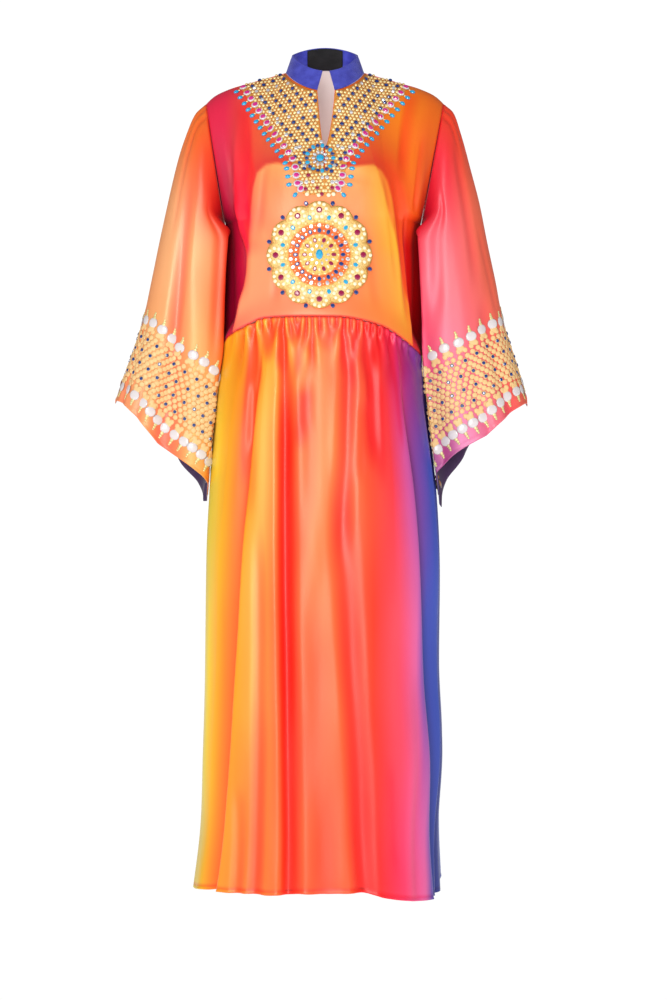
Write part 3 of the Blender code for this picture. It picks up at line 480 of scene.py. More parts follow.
sleeveLeftSatin = dyedSatinWithPaintedShade("sleeveLeftSatin", (
    (0.04, ((0.0, "#FF4828"), (0.10, "#FF4428"), (0.22, "#F82438"), (0.38, "#D80E30"),
            (0.50, "#9C0A24"), (0.70, "#E82820"), (1.0, "#FF4828"))),
    (0.40, ((0.0, "#FF6C44"), (0.12, "#FF6850"), (0.22, "#FC6268"), (0.32, "#FC5C74"),
            (0.38, "#FC3468"), (0.42, "#D00038"), (0.50, "#780418"), (0.72, "#F03428"), (1.0, "#FF6C44"))),
    (0.78, ((0.0, "#FF7050"), (0.12, "#FF6858"), (0.22, "#F4606C"), (0.34, "#EC6090"),
            (0.44, "#A84890"), (0.52, "#403080"), (0.74, "#D83058"), (1.0, "#FF7050"))),
    (1.00, ((0.0, "#F86040"), (0.12, "#F86058"), (0.22, "#F06880"), (0.32, "#D070A8"),
            (0.42, "#6C4098"), (0.52, "#282870"), (0.74, "#B83460"), (1.0, "#F86040"))),
))
paleReverse = reverseSatin("paleReverse", "#E4D0CA", "#EEE0DA", 0.24)
emberReverse = reverseSatin("emberReverse", "#B03038", "#C84440", 0.10)
duskReverse = reverseSatin("duskReverse", "#3A2448", "#50305C", 0.03)

print("materials ready")


# Bodice

bodice = {
    "neckWidth": 0.068, "neckFront": 0.083, "neckBack": 0.055, "neckDrop": 0.044,
    "neckRise": 0.014, "neckCurve": 1.4, "neckShift": 0.002, "neckShare": 0.40,
    "slitDepth": 0.145, "slitHalf": 0.015, "slitCurve": 0.55, "slitShare": 1 / 15,
    "armholeFront": 0.058, "armholeBack": 0.056, "armholePull": 2.2,
    "leaveShoulder": (0.105, -0.030),
    "leaveNeckFront": (0.062, -0.215),
    "leaveNeckBack": (0.050, -0.215),
    "reachUnderarm": (0.010, -0.205),
    "cornerSpread": 0.075, "cornerSlope": -0.28,
    "upperShare": 10 / 18,
    "bustX": 0.092, "bustZ": -0.178, "bustLift": 0.012, "bustWide": 0.050, "bustTall": 0.045,
    "columns": 84, "backColumns": 56, "upperRows": 76, "lowerRows": 44,
    "swell": 0.0009,
    "edgeTuck": 0.0009,
    "shoulderLine": (
        (0.068, 0.000), (0.100, -0.009), (0.135, -0.019), (0.165, -0.028),
        (0.190, -0.040), (0.2065, -0.054),
    ),
    "frontFolds": (
        (0.36, 0.93, -48, -50, 9, 8, 0.005, 0.004),
        (0.12, 0.46, -64, -46, 9, 9, 0.005, 0.006),
        (0.36, 0.97, 44, 57, 8, 11, 0.006, 0.008),
        (0.06, 0.42, 70, 50, 9, 9, 0.004, 0.007),
        (0.34, 0.66, -33, -38, 4, 5, 0.0020, 0.0012),
        (0.38, 0.85, 36, 43, 4, 5, 0.0022, 0.0012),
        (0.20, 0.50, -76, -60, 5, 6, 0.0020, 0.0030),
        (0.22, 0.52, 78, 64, 5, 6, 0.0020, 0.0026),
        (0.60, 0.98, -22, -26, 5, 5, 0.0010, 0.0018),
        (0.58, 0.98, 22, 28, 5, 6, 0.0010, 0.0016),
    ),
    # where the front turns back to the side: share down, degrees from the centre, depth there
    "rims": {
        -1: ((0.40, 64, 0.000), (0.50, 60, 0.004), (0.586, 55.8, 0.009), (0.688, 49.0, 0.014),
             (0.753, 48.1, 0.017), (0.831, 49.8, 0.018), (0.885, 53.5, 0.018), (0.956, 57.6, 0.018),
             (1.0, 61.5, 0.016)),
        1: ((0.50, 52, 0.000), (0.56, 52.0, 0.005), (0.639, 52.6, 0.011), (0.842, 57.2, 0.016),
            (0.969, 59.3, 0.016), (1.0, 61.2, 0.014)),
    },
    "creases": (
        # the line, how far it fades inside and outside, and its height
        (((-0.050, -0.180), (-0.080, -0.1725), (-0.100, -0.1745), (-0.115, -0.188), (-0.1235, -0.212),
          (-0.1285, -0.250), (-0.1335, -0.300), (-0.136, -0.345), (-0.1395, -0.381),
          (-0.1465, -0.408), (-0.1530, -0.440), (-0.160, -0.470)), 0.035, 0.010, 0.0075),
        (((0.160, -0.455), (0.146, -0.390), (0.128, -0.300), (0.118, -0.2375), (0.107, -0.203),
          (0.096, -0.185), (0.082, -0.1765), (0.040, -0.180)), 0.030, 0.010, 0.0075),
        (((0.144, -0.400), (0.118, -0.290), (0.100, -0.225), (0.090, -0.190)), 0.018, 0.012, 0.0035),
    ),
    "backFolds": (
        (0.45, 1.00, 120, 124, 10, 9, 0.003, 0.009),
        (0.50, 1.00, 163, 160, 9, 9, 0.002, 0.006),
        (0.50, 1.00, 197, 200, 9, 9, 0.002, 0.006),
        (0.45, 1.00, 240, 237, 9, 10, 0.003, 0.009),
        (0.20, 0.60, 112, 128, 7, 7, 0.002, 0.003),
        (0.22, 0.58, 246, 232, 7, 7, 0.002, 0.003),
        (0.62, 1.00, 180, 181, 6, 6, 0.001, 0.003),
        (0.55, 1.00, 143, 145, 5, 6, 0.001, 0.003),
        (0.55, 1.00, 218, 216, 6, 5, 0.001, 0.003),
    ),
}
sleeve = {
    # share down the sleeve, over the arm x and z, under it x and z, depth before and behind
    "rightRings": (
        (0.00, 0.2065, -0.054, 0.1730, -0.265, 0.058, 0.056),
        (0.05, 0.2260, -0.072, 0.1765, -0.285, 0.066, 0.062),
        (0.11, 0.2400, -0.104, 0.1785, -0.310, 0.070, 0.066),
        (0.22, 0.2560, -0.155, 0.1795, -0.350, 0.069, 0.066),
        (0.38, 0.2745, -0.232, 0.1810, -0.415, 0.066, 0.064),
        (0.58, 0.2990, -0.350, 0.1860, -0.520, 0.064, 0.062),
        (0.78, 0.3230, -0.455, 0.1970, -0.630, 0.061, 0.060),
        (1.00, 0.3645, -0.575, 0.2110, -0.745, 0.056, 0.056),
    ),
    "leftRings": (
        (0.00, 0.2065, -0.054, 0.1665, -0.265, 0.058, 0.056),
        (0.05, 0.2240, -0.070, 0.1695, -0.285, 0.066, 0.062),
        (0.11, 0.2350, -0.102, 0.1715, -0.310, 0.070, 0.066),
        (0.22, 0.2510, -0.162, 0.1720, -0.355, 0.070, 0.065),
        (0.38, 0.2700, -0.234, 0.1720, -0.420, 0.068, 0.060),
        (0.58, 0.2950, -0.355, 0.1735, -0.530, 0.066, 0.052),
        (0.78, 0.3150, -0.459, 0.1850, -0.640, 0.063, 0.046),
        (1.00, 0.3520, -0.580, 0.2035, -0.755, 0.058, 0.044),
    ),
    "hemRise": {-1: 0.0140, 1: 0.0350},
    "hemLean": {-1: 1.1, 1: -0.4},   # how far the rise lies towards the over-arm side
    "backRise": {-1: 0.028, 1: 0.052},
    "hemBow": {-1: 1.1, 1: 0.8},
    "rightFolds": (
        (0.10, 1.05, 62, 96, 22, 20, 0.004, 0.017),
        (0.30, 1.05, 135, 138, 16, 14, 0.003, 0.009),
        (0.20, 1.05, 232, 236, 24, 22, 0.003, 0.013),
        (0.45, 1.05, 290, 300, 20, 18, 0.002, 0.009),
        (0.05, 0.70, 108, 116, 5, 6, 0.0016, 0.0022),
        (0.62, 1.05, 66, 60, 9, 9, 0.0010, 0.0040),
        (0.70, 1.05, 28, 34, 9, 9, 0.0010, 0.0040),
        (0.05, 0.45, 40, 50, 8, 9, 0.0020, 0.0020),
    ),
    "leftFolds": (
        (0.06, 0.60, 48, 62, 14, 15, 0.004, 0.004),
        (0.35, 1.05, 118, 128, 20, 18, 0.003, 0.013),
        (0.55, 1.05, 58, 52, 18, 16, 0.002, 0.008),
        (0.25, 1.05, 236, 232, 24, 22, 0.003, 0.012),
        (0.45, 1.05, 296, 305, 18, 18, 0.002, 0.009),
        (0.05, 0.60, 98, 108, 8, 10, 0.0024, 0.0028),
        (0.72, 1.05, 88, 86, 9, 9, 0.0010, 0.0040),
        (0.40, 0.72, 38, 30, 9, 9, 0.0014, 0.0014),
    ),
    "corner": {-1: 0.038, 1: 0.036},   # how much a sleeve's inner front bulges to the body
    "clearance": (0.0018, 0.0032),     # from the body, at the arm and at the hem
    "capPleats": (-34, -18, -4, 10, 25, 40),
    "capDepth": 0.0035, "capWidth": 4.5, "capEnd": 0.24,
    "rows": 130, "columns": 210,
    "swell": 0.0012,
    "hemRoll": 0.0006, "hemStitch": 0.0055, "length": 0.52,
}


def slitHalf(z):
    run = (z + bodice["slitDepth"]) / (bodice["slitDepth"] - bodice["neckDrop"])
    return bodice["slitHalf"] * np.clip(run, 0, 1) ** bodice["slitCurve"]


def neckPoint(turn, back):
    start = 0 if back else math.asin(bodice["slitHalf"] / bodice["neckWidth"])
    angle = blend(start, math.pi / 2, turn)
    ahead = np.maximum(0.0, np.cos(angle))
    y = body["seamY"] + ahead * (bodice["neckBack"] if back else -bodice["neckFront"])
    z = ahead ** bodice["neckCurve"] * (bodice["neckRise"] if back else -bodice["neckDrop"])
    return np.stack([bodice["neckWidth"] * np.sin(angle), y, z], -1)


def topEdge(share, back):
    onNeck = neckPoint(np.minimum(share / bodice["neckShare"], 1.0), back)
    run = np.clip((share - bodice["neckShare"]) / (1 - bodice["neckShare"]), 0, 1)
    line = bodice["shoulderLine"]
    spot = readTable(line, blend(line[0][0], line[-1][0], run))
    onShoulder = np.stack([spot[..., 0], body["seamY"] + 0 * run, spot[..., 1]], -1)
    return np.where((share < bodice["neckShare"])[..., None], onNeck, onShoulder)


def armholePoint(side, turn):
    ring = sleeve["leftRings"][0] if side > 0 else sleeve["rightRings"][0]
    over = np.array([ring[1] * side, body["seamY"], ring[2]])
    under = np.array([ring[3] * side, body["seamY"], ring[4]])
    turn = np.radians(turn)
    depth = np.where(np.sin(turn) > 0, bodice["armholeFront"], bodice["armholeBack"])
    forward = np.stack([0 * turn, -depth * np.sin(turn), 0 * turn], -1)
    middle = (over + under) / 2
    return middle + (over - middle) * np.cos(turn)[..., None] + forward


# A point between the upper edge and the ring under the arms, share 0 at the centre
def chestPoint(side, share, down, back):
    ahead = 1 if back else -1
    flip = np.array([side, 1, 1])
    onNeck = np.maximum(0.0, 1 - share / bodice["neckShare"])
    start = topEdge(share, back) * flip
    start[..., 0] += bodice["neckShift"] * onNeck
    angle = 180 - 90 * side * share if back else 90 * side * share
    end = ringPoint(body["underarm"] + 0 * share, angle)
    forward, up = bodice["leaveShoulder"]
    shoulder = np.array([0, forward * ahead, up])
    forward, up = bodice["leaveNeckBack" if back else "leaveNeckFront"]
    leave = shoulder + (np.array([0, forward * ahead, up]) - shoulder) * onNeck[..., None]
    nearCorner = np.where(
        share < bodice["neckShare"],
        share / bodice["neckShare"],
        (1 - share) / (1 - bodice["neckShare"]),
    )
    spread = np.array([side, 0, bodice["cornerSlope"]]) * bodice["cornerSpread"]
    leave = leave + spread * (nearCorner**1.5)[..., None]
    forward, up = bodice["reachUnderarm"]
    arrive = np.array([0, forward * ahead, up])
    spot = hermite(start, end, leave, arrive, down)
    edgeEnd = ringPoint(body["underarm"] + 0 * share, (180 - 90 * side if back else 90 * side) + 0 * share)
    edge = hermite(topEdge(np.ones_like(share), back) * flip, edgeEnd, shoulder, arrive, down)
    turn = -180 * down if back else 180 * down
    pull = smoothStep(share) ** bodice["armholePull"]
    return spot + (armholePoint(side, turn) - edge) * pull[..., None]


def bustLift(spot):
    tall = np.where(spot[..., 2] > bodice["bustZ"], 1.0, 2.2) * bodice["bustTall"]
    lift = 0.0
    for side in (-1, 1):
        wide = (spot[..., 0] - side * bodice["bustX"]) / bodice["bustWide"]
        lift = lift + np.exp(-(wide**2) - ((spot[..., 2] - bodice["bustZ"]) / tall) ** 2)
    return lift * bodice["bustLift"]


def rimFold(down, angle):
    press = 0.0
    for side, rim in bodice["rims"].items():
        edge = readTable(rim, down)
        press = press + edge[..., 2] * smoothStep((side * angle - edge[..., 1]) / 4.5)
    return press


# The dye's place across the front, moved so that the ramp's dark sides, painted shade where the front turns
# back, begin at both rims
def dyeAndShadeAcross(side, share, down):
    turn = 0.5 + 0.5 * side * share
    for way, place, rim in ((-1, 0.19, bodice["rims"][-1]), (1, 0.84, bodice["rims"][1])):
        edge = 0.5 + way * readTable(rim, down)[..., 1] / 180
        turn = turn + (place - edge) * smoothStep((way * 0.5 * side * share - 0.05) / 0.15)
    return turn


def bodicePoint(side, share, down, back):
    upper = bodice["upperShare"]
    angle = 180 - 90 * side * share if back else 90 * side * share
    wrapped = wrapAngle(angle)
    high = chestPoint(side, share, np.minimum(down / upper, 1.0), back)
    run = np.clip((down - upper) / (1 - upper), 0, 1)
    waist = readTable(body["waistSeam"], wrapped)[..., 1]
    low = ringPoint(blend(body["underarm"], waist, run), angle)
    spot = np.where((down <= upper)[..., None], high, low)
    fade = smoothStep((1 - share) / 0.16) * smoothStep((1 - down) / 0.10) * smoothStep(down / 0.10)
    out = wayOut(angle)
    if not back:
        lift = bustLift(spot)
        x, z = spot[..., 0].copy(), spot[..., 2].copy()
        # tone: the creases' painted shade and painted highlight
        tone = 0.0
        for line, inner, outer, height in bodice["creases"]:
            rise, pale = creaseLift(line, x, z, inner, outer, height)
            lift = lift + rise - 0.25 * height
            tone = tone + pale
        lift = lift * smoothStep((1 - share) / 0.3) * smoothStep((1 - down) / 0.12)
        tone = tone * smoothStep((1 - share) / 0.25) * smoothStep((1 - down) / 0.10)
        spot[..., 1] -= lift
    folds = bodice["backFolds"] if back else bodice["frontFolds"]
    press = (foldDepth(folds, down, angle) + (0 if back else rimFold(down, angle))) * fade
    press -= swells(spot, 0.045, 0.10, 3.0 + 5 * back) * bodice["swell"] * fade
    edges = bell(1 - share, 0.012) + bell(1 - down, 0.008)
    # shade is painted: the fold depth and the creases' tone, with more painted shade along the waist seam and
    # the side edge
    shade = np.minimum(press if back else press + tone, satin["foldDepth"])
    press += bodice["edgeTuck"] * edges
    seamShade = bell(1 - down, 0.006) + 0.5 * bell(1 - share, 0.010)
    shade = shade + 0.012 * seamShade
    return spot - out * press[..., None], shade


def makeBodice(back):
    columns = bodice["backColumns"] if back else bodice["columns"]
    upper = bodice["upperShare"]
    downs = np.concatenate([
        np.linspace(0, upper, bodice["upperRows"], endpoint=False),
        np.linspace(upper, 1, bodice["lowerRows"]),
    ])
    grids = []
    for side in (-1, 1):
        shares = np.linspace(1e-6, 1, columns + 1)
        down, share = np.meshgrid(downs, shares, indexing="ij")
        points, shade = bodicePoint(side, share, down, back)
        near = np.clip(1 - share / bodice["slitShare"], 0, 1)
        open_ = 0.0 if back else slitHalf(points[:, :1, 2])
        shift = bodice["neckShift"] * smoothStep(open_ / bodice["slitHalf"])
        middle = side * open_ + shift
        points[..., 0] += (middle - points[:, :1, 0]) * near
        dye = np.stack([0.5 + 0.5 * side * share if back else dyeAndShadeAcross(side, share, down), down], -1)
        if (side < 0) != back:
            points, dye, shade = points[:, ::-1], dye[:, ::-1], shade[:, ::-1]
        grids.append((points, dye, shade))
    name = "backBodice" if back else "frontBodice"
    finish = bodiceBackSatin if back else bodiceFrontSatin
    return makePanel(name, grids, [finish, paleReverse], satin["thickness"])


frontBodice = makeBodice(False)
backBodice = makeBodice(True)
print("bodice made")


# Skirt

skirt = {
    "frontColumns": 250, "backColumns": 190, "rows": 104, "hemRows": (0.006, 0.004, 0.002),
    "crowd": 1.5,            # how much closer the rows lie near the waist
    "swell": 0.0022, "crimp": 1.45,
    "pucker": 0.0009, "puckerLength": 0.030,
    "hemRoll": 0.0007, "hemWave": 0.0016, "hemStitch": 0.0065, "length": 0.95, "seamTuck": 0.0008,
    "frontFolds": (
        (0.00, 1.02, -34.5, -54, 17, 2.8, 0.015, 0.024, 1.0, 0.5),
        (0.00, 1.02, -19.5, -13.5, 2.4, 8, 0.014, 0.012, 0.5, 1.0),
        (0.30, 1.02, -29, -28, 6, 6, 0.004, 0.006),
        (0.00, 0.46, 12, 5, 6, 7, 0.009, 0.006),
        (0.22, 1.02, 4, 17, 7, 9, 0.004, 0.012),
        (0.00, 0.27, 25, 23, 5.5, 5, 0.006, 0.004, 1.0, 0.7),
        (0.02, 1.02, 46, 67, 3, 14, 0.010, 0.018, 0.5, 1.0),
        (0.02, 1.02, 74, 78, 3, 12, 0.012, 0.020, 0.5, 1.0),
        (0.02, 0.40, -33, -36, 4, 5, 0.006, 0.003, 1.0, 0.7),
        (0.06, 0.40, -6, -4, 5, 5, 0.0024, 0.0016),
        (0.10, 0.21, -9, -7, 4.5, 5.5, 0.0016, 0.0016),
        (0.10, 0.24, -39, -41, 4, 4.5, 0.0050, 0.0030),
        (0.13, 0.30, 20, 14, 5, 6, 0.0026, 0.0020),
        (0.80, 1.02, -40, -38, 5, 6, 0.0030, 0.0060),
        (0.74, 0.97, 30, 35, 6, 5, 0.0026, 0.0030),
        (0.55, 1.02, 48, 50, 6, 6, 0.0010, 0.0030),
        (0.50, 1.02, -2, 1, 7, 7, 0.0008, 0.0030),
    ),
    "backFolds": (
        (0.03, 1.02, 113, 116, 17, 17, -0.010, -0.022),
        (0.02, 1.02, 140, 136, 9, 11, 0.009, 0.017),
        (0.03, 1.02, 164, 166, 8, 9, 0.006, 0.012),
        (0.02, 1.02, 190, 187, 9, 8, 0.006, 0.011),
        (0.03, 1.02, 214, 217, 9, 10, 0.008, 0.015),
        (0.05, 1.02, 241, 243, 10, 9, 0.007, 0.014),
        (0.10, 0.60, 152, 154, 5, 5, 0.002, 0.002),
        (0.15, 0.70, 202, 200, 5, 5, 0.002, 0.002),
        (0.12, 0.55, 228, 229, 5, 5, 0.002, 0.002),
    ),
    # painted shade with little depth, dark streaks where no fold is modelled: start, end, angle at both, half
    # width, strength
    "frontShadeStrokes": (
        (0.00, 0.30, -40.0, -45.0, 2.6, 1.5), (0.00, 0.28, 24.5, 22.0, 3.0, 1.2),
        (0.13, 0.24, -8.0, -10.0, 3.0, 0.9), (0.02, 0.12, -11.0, -12.0, 2.0, 0.6),
        (0.10, 0.30, 29.0, 27.0, 2.5, 0.7), (0.06, 0.22, 40.0, 42.0, 1.6, 0.7),
        (0.02, 0.14, 14.0, 13.0, 1.8, 0.7), (0.00, 0.10, -23.0, -21.0, 3.5, 0.8),
    ),
    # gathers: place across the seam in metres, half width, depth and length
    "frontGathers": (
        (-0.158, 0.005, 0.0010, 0.07), (-0.142, 0.006, 0.0034, 0.10),
        (-0.122, 0.005, 0.0056, 0.13), (-0.107, 0.004, 0.0044, 0.07),
        (-0.093, 0.005, 0.0046, 0.08), (-0.081, 0.003, 0.0036, 0.04),
        (-0.071, 0.004, 0.0060, 0.12), (-0.060, 0.003, 0.0046, 0.05),
        (-0.050, 0.004, 0.0044, 0.045), (-0.041, 0.003, 0.0036, 0.035),
        (-0.031, 0.003, 0.0048, 0.06), (-0.021, 0.003, 0.0040, 0.10),
        (-0.008, 0.004, 0.0034, 0.05), (0.007, 0.004, 0.0032, 0.06),
        (0.020, 0.004, 0.0036, 0.04), (0.033, 0.004, 0.0052, 0.10),
        (0.044, 0.003, 0.0044, 0.06), (0.056, 0.004, 0.0044, 0.08),
        (0.069, 0.004, 0.0056, 0.11), (0.079, 0.003, 0.0044, 0.06),
        (0.092, 0.004, 0.0048, 0.08), (0.103, 0.003, 0.0044, 0.05),
        (0.113, 0.004, 0.0052, 0.10), (0.124, 0.003, 0.0044, 0.06),
        (0.134, 0.004, 0.0044, 0.08), (0.145, 0.003, 0.0040, 0.05),
    ),
    "backGathers": 22,
}


def gatherDepth(points, drop, gathers):
    depth = np.zeros(points.shape[:-1])
    for place, wide, deep, length in gathers:
        spread = wide * (1 + 1.6 * np.clip(drop / length, 0, 1))
        off = (points[..., 0] - place) / spread
        wave = bell(off, 1.0) - 0.35 * bell(np.abs(off) - 1.7, 0.8)
        rise = blend(0.35, 1.0, smoothStep(drop / 0.012))
        depth += deep * wave * rise * smoothStep(1 - (drop - 0.008) / length)
    return depth


def skirtGrid(back):
    columns = skirt["backColumns"] if back else skirt["frontColumns"]
    hemRows = 1 - np.array(skirt["hemRows"])
    shares = np.linspace(0, 1, skirt["rows"]) ** skirt["crowd"] * (1 - 2 * skirt["hemRows"][0])
    shares = np.concatenate([shares, hemRows, [1.0]])
    angles = np.linspace(90, 270, columns + 1) if back else np.linspace(-90, 90, columns + 1)
    share, angle = np.meshgrid(shares, angles, indexing="ij")
    wrapped = wrapAngle(angle)
    top = readTable(body["waistSeam"], wrapped)[..., 1]
    low = readTable(body["hem"], wrapped)[..., 1]
    z = blend(top, low, share)
    spot = ringPoint(z, angle)
    drop = top - z
    turn = (angle - 90) / 180 if back else (angle + 90) / 180
    if back:
        gathers = []
        for k in range(skirt["backGathers"]):
            place = -0.145 + 0.29 * (k + 0.5 + 0.3 * math.sin(5.1 * k)) / skirt["backGathers"]
            deep = 0.0030 + 0.0012 * math.sin(2.4 * k)
            gathers.append((place, 0.0045, deep, 0.08 + 0.045 * math.sin(3.7 * k + 1)))
    else:
        gathers = skirt["frontGathers"]
    fade = smoothStep(np.abs(np.cos(np.radians(angle))) / math.sin(math.radians(12)))
    press = foldDepth(skirt["backFolds" if back else "frontFolds"], share, angle)
    crimp = gatherDepth(spot, drop, gathers) * skirt["crimp"]
    press = press * smoothStep(share / 0.05) + crimp
    fine = np.sin(2 * np.pi * 57 * turn + 3 * np.sin(9 * turn)) * np.sin(2 * np.pi * 8.3 * turn + 1)
    press += skirt["pucker"] * fine * smoothStep(1 - drop / skirt["puckerLength"])
    press -= swells(spot, 0.035, 0.16, 11.0 + 7 * back) * skirt["swell"] * smoothStep(share / 0.1)
    press += skirt["seamTuck"] * bell(drop, 0.0025)
    dyed = 1 - turn if back else turn
    # painted shade: fold depth and gathers, weaker in the yellow and fading out in the blue
    weight = blend(0.35, 1.0, smoothStep((dyed - 0.24) / 0.10)) - 0.8 * smoothStep((dyed - 0.74) / 0.08)
    shade = (press + 1.7 * crimp - 0.002) * fade * weight
    # the streaks add painted shade
    for start, end, angleStart, angleEnd, wide, strength in () if back else skirt["frontShadeStrokes"]:
        run = (share - start) / (end - start)
        off = (angle - blend(angleStart, angleEnd, np.clip(run, 0, 1))) / wide
        ends = smoothStep((run + 0.1) / 0.25) * smoothStep((1 - run) / 0.4)
        shade = shade + strength * satin["foldDepth"] * bell(off, 1.0) * ends
    shade = np.minimum(shade, satin["foldDepth"])
    fromHem = (1 - share) * skirt["length"]
    fromStitch = fromHem - skirt["hemStitch"]
    # painted shade along the waist seam and in the hem's stitched groove
    shade = shade + 0.014 * bell(drop, 0.0022)
    shade = shade + 0.006 * bell(fromStitch, 0.0014)
    roll = bell(fromHem, 0.003) - 0.6 * bell(fromStitch, 0.0016)
    wave = swells(spot * np.array([1, 1, 0]), 0.028, 1.0, 21.0) * np.exp(-fromHem / 0.03)
    press -= skirt["hemRoll"] * roll + 0.9 * skirt["hemWave"] * wave
    spot = spot - wayOut(angle) * (press * fade)[..., None]
    spot[..., 2] += skirt["hemWave"] * wave * fade
    return spot, np.stack([turn, share], -1), shade


frontSkirt = makePanel(
    "frontSkirt", [skirtGrid(False)], [skirtFrontSatin, emberReverse], satin["thickness"])
backSkirt = makePanel("backSkirt", [skirtGrid(True)], [skirtBackSatin, emberReverse], satin["thickness"])
print("skirt made")


# Sleeves

# How far the body reaches to a side at a point's depth and height
def bodyReach(spot, side):
    section = readTable(body["rings"], spot[..., 2])
    half = section[..., 1] if side > 0 else section[..., 2]
    depth = np.where(spot[..., 1] < body["seamY"], section[..., 3], section[..., 4])
    ahead = np.clip(np.abs(spot[..., 1] - body["seamY"]) / depth, 0, 1)
    return half * (1 - ahead ** (2 / body["power"])) ** (body["power"] / 2)


def sleevePoint(side, along, turn):
    ring = readTable(sleeve["leftRings"] if side > 0 else sleeve["rightRings"], along)
    seamY = body["seamY"] + 0 * along
    over = np.stack([ring[..., 1] * side, seamY, ring[..., 2]], -1)
    under = np.stack([ring[..., 3] * side, seamY, ring[..., 4]], -1)
    middle = (over + under) / 2
    radians = np.radians(turn)
    sine, cosine = np.sin(radians), np.cos(radians)
    depth = np.where(sine > 0, ring[..., 5], ring[..., 6])
    spot = middle + (over - middle) * cosine[..., None]
    spot[..., 1] -= depth * sine
    bulge = np.maximum(0.0, np.sin(2 * (radians - math.pi / 2))) * (sine > 0)
    lower = smoothStep(along / 0.12) * smoothStep((body["underarm"] + 0.025 - spot[..., 2]) / 0.06)
    spot[..., 0] -= side * sleeve["corner"][side] * bulge * lower
    rise = sleeve["hemRise"][side] * (1 + sleeve["hemLean"][side] * cosine)
    bow = np.where(sine > 0, sleeve["hemBow"][side], 0.5)
    rise = np.where(sine > 0, rise, sleeve["backRise"][side]) * np.abs(sine) ** bow
    spot[..., 2] += rise * smoothStep((along - 0.35) / 0.65)
    out = np.stack([side * cosine, -sine, 0.25 * cosine], -1)
    out /= np.linalg.norm(out, axis=-1, keepdims=True)
    wrapped = np.where(turn < 300, turn, turn - 360)
    pleat = sum(bell(wrapped - p, sleeve["capWidth"]) for p in sleeve["capPleats"])
    fall = smoothStep(along / 0.02) * smoothStep(1 - along / sleeve["capEnd"])
    folds = sleeve["leftFolds"] if side > 0 else sleeve["rightFolds"]
    press = foldDepth(folds, along, turn) * smoothStep(along / 0.06)
    press += sleeve["capDepth"] * pleat * fall
    wide = swells(spot, 0.045, 0.12, 31.0 + side)
    press -= wide * sleeve["swell"] * smoothStep(along / 0.15)
    # painted shade from the folds, and along the armhole seam
    shade = np.minimum(0.5 * press - 0.001, satin["foldDepth"]) + 0.012 * bell(along, 0.005)
    press += bodice["edgeTuck"] * bell(along, 0.004)
    fromHem = (1 - along) * sleeve["length"]
    roll = bell(fromHem, 0.0025) - 0.6 * bell(fromHem - sleeve["hemStitch"], 0.0015)
    press -= sleeve["hemRoll"] * roll
    spot = spot - out * press[..., None]
    # a sleeve lies against the body and not in it
    clear = bodyReach(spot, side) + blend(*sleeve["clearance"], smoothStep(along))
    below = smoothStep((body["underarm"] - 0.004 - spot[..., 2]) / 0.03)
    spot[..., 0] += side * np.maximum(0.0, clear - side * spot[..., 0]) * below
    return spot, shade


def sleeveGrid(side):
    alongs = np.linspace(0, 1, sleeve["rows"] - 4) * 0.985
    alongs = np.concatenate([alongs, [0.989, 0.9925, 0.996, 1.0]])
    columns = np.linspace(0, 1, sleeve["columns"] + 1)
    turns = 360 * (columns - 0.055 * np.sin(2 * np.pi * columns))
    along, turn = np.meshgrid(alongs, turns, indexing="ij")
    points, shade = sleevePoint(side, along, turn % 360)
    return points, np.stack([turn / 360, along], -1), shade


sleevePieces = {}
for side, name, finish in ((1, "leftSleeve", sleeveLeftSatin), (-1, "rightSleeve", sleeveRightSatin)):
    sleevePieces[side] = makePanel(
        name, [sleeveGrid(side)], [finish, duskReverse], satin["thickness"], closed=True, turned=side > 0)
print("sleeves made")


# Collar and label

collar = {
    "height": 0.030, "backHeight": 0.038, "lean": 0.011, "endLean": 0.0065, "endRise": 0.004,
    "centreY": -0.002, "thickness": 0.0022, "columns": 200, "rows": 30,
    "stitchInset": 0.0035, "stitch": 0.0007, "halfLength": 0.17,
}
label = {"half": 0.0325, "height": 0.037, "top": 0.95, "gap": 0.0008, "thickness": 0.0008}


def collarPoint(turn, up):
    side = np.where(turn >= 0, 1.0, -1.0)
    share = np.abs(turn)
    back = share < 0.5
    run = np.clip(np.where(back, share / 0.5, (1 - share) / 0.5), 0, 1)
    spot = np.where(back[..., None], neckPoint(run, True), neckPoint(run, False))
    spot[..., 0] *= side
    centre = np.stack([0 * run, collar["centreY"] + 0 * run, spot[..., 2]], -1)
    inward = centre - spot
    inward /= np.linalg.norm(inward, axis=-1, keepdims=True)
    height = blend(collar["backHeight"], collar["height"], smoothStep(share / 0.6))
    spot = spot + inward * (collar["lean"] * up)[..., None]
    spot[..., 2] += height * up
    front = np.where(back, 0.0, 1.0)
    spot[..., 0] -= front * side * collar["endLean"] * up * (1 - run) ** 2
    spot[..., 2] += front * collar["endRise"] * up * (1 - run)
    spot[..., 0] += front * bodice["neckShift"] * (1 - run)
    return spot, inward


def makeCollar():
    ups = np.linspace(1, 0, collar["rows"] + 1)
    up, turn = np.meshgrid(ups, np.linspace(-1, 1, collar["columns"] + 1), indexing="ij")
    spot, inward = collarPoint(turn, up)
    height = collar["height"]
    fromEnd = (1 - np.abs(turn)) * collar["halfLength"]
    groove = sum(
        bell(off - collar["stitchInset"], collar["stitch"])
        for off in ((1 - up) * height, up * height, fromEnd))
    spot = spot + inward * (0.0004 * groove)[..., None]
    return makePanel(
        "standCollar", [(spot, np.stack([turn / 2 + 0.5, up], -1), 0 * up)], [collarCloth, collarLining],
        collar["thickness"], turned=True)


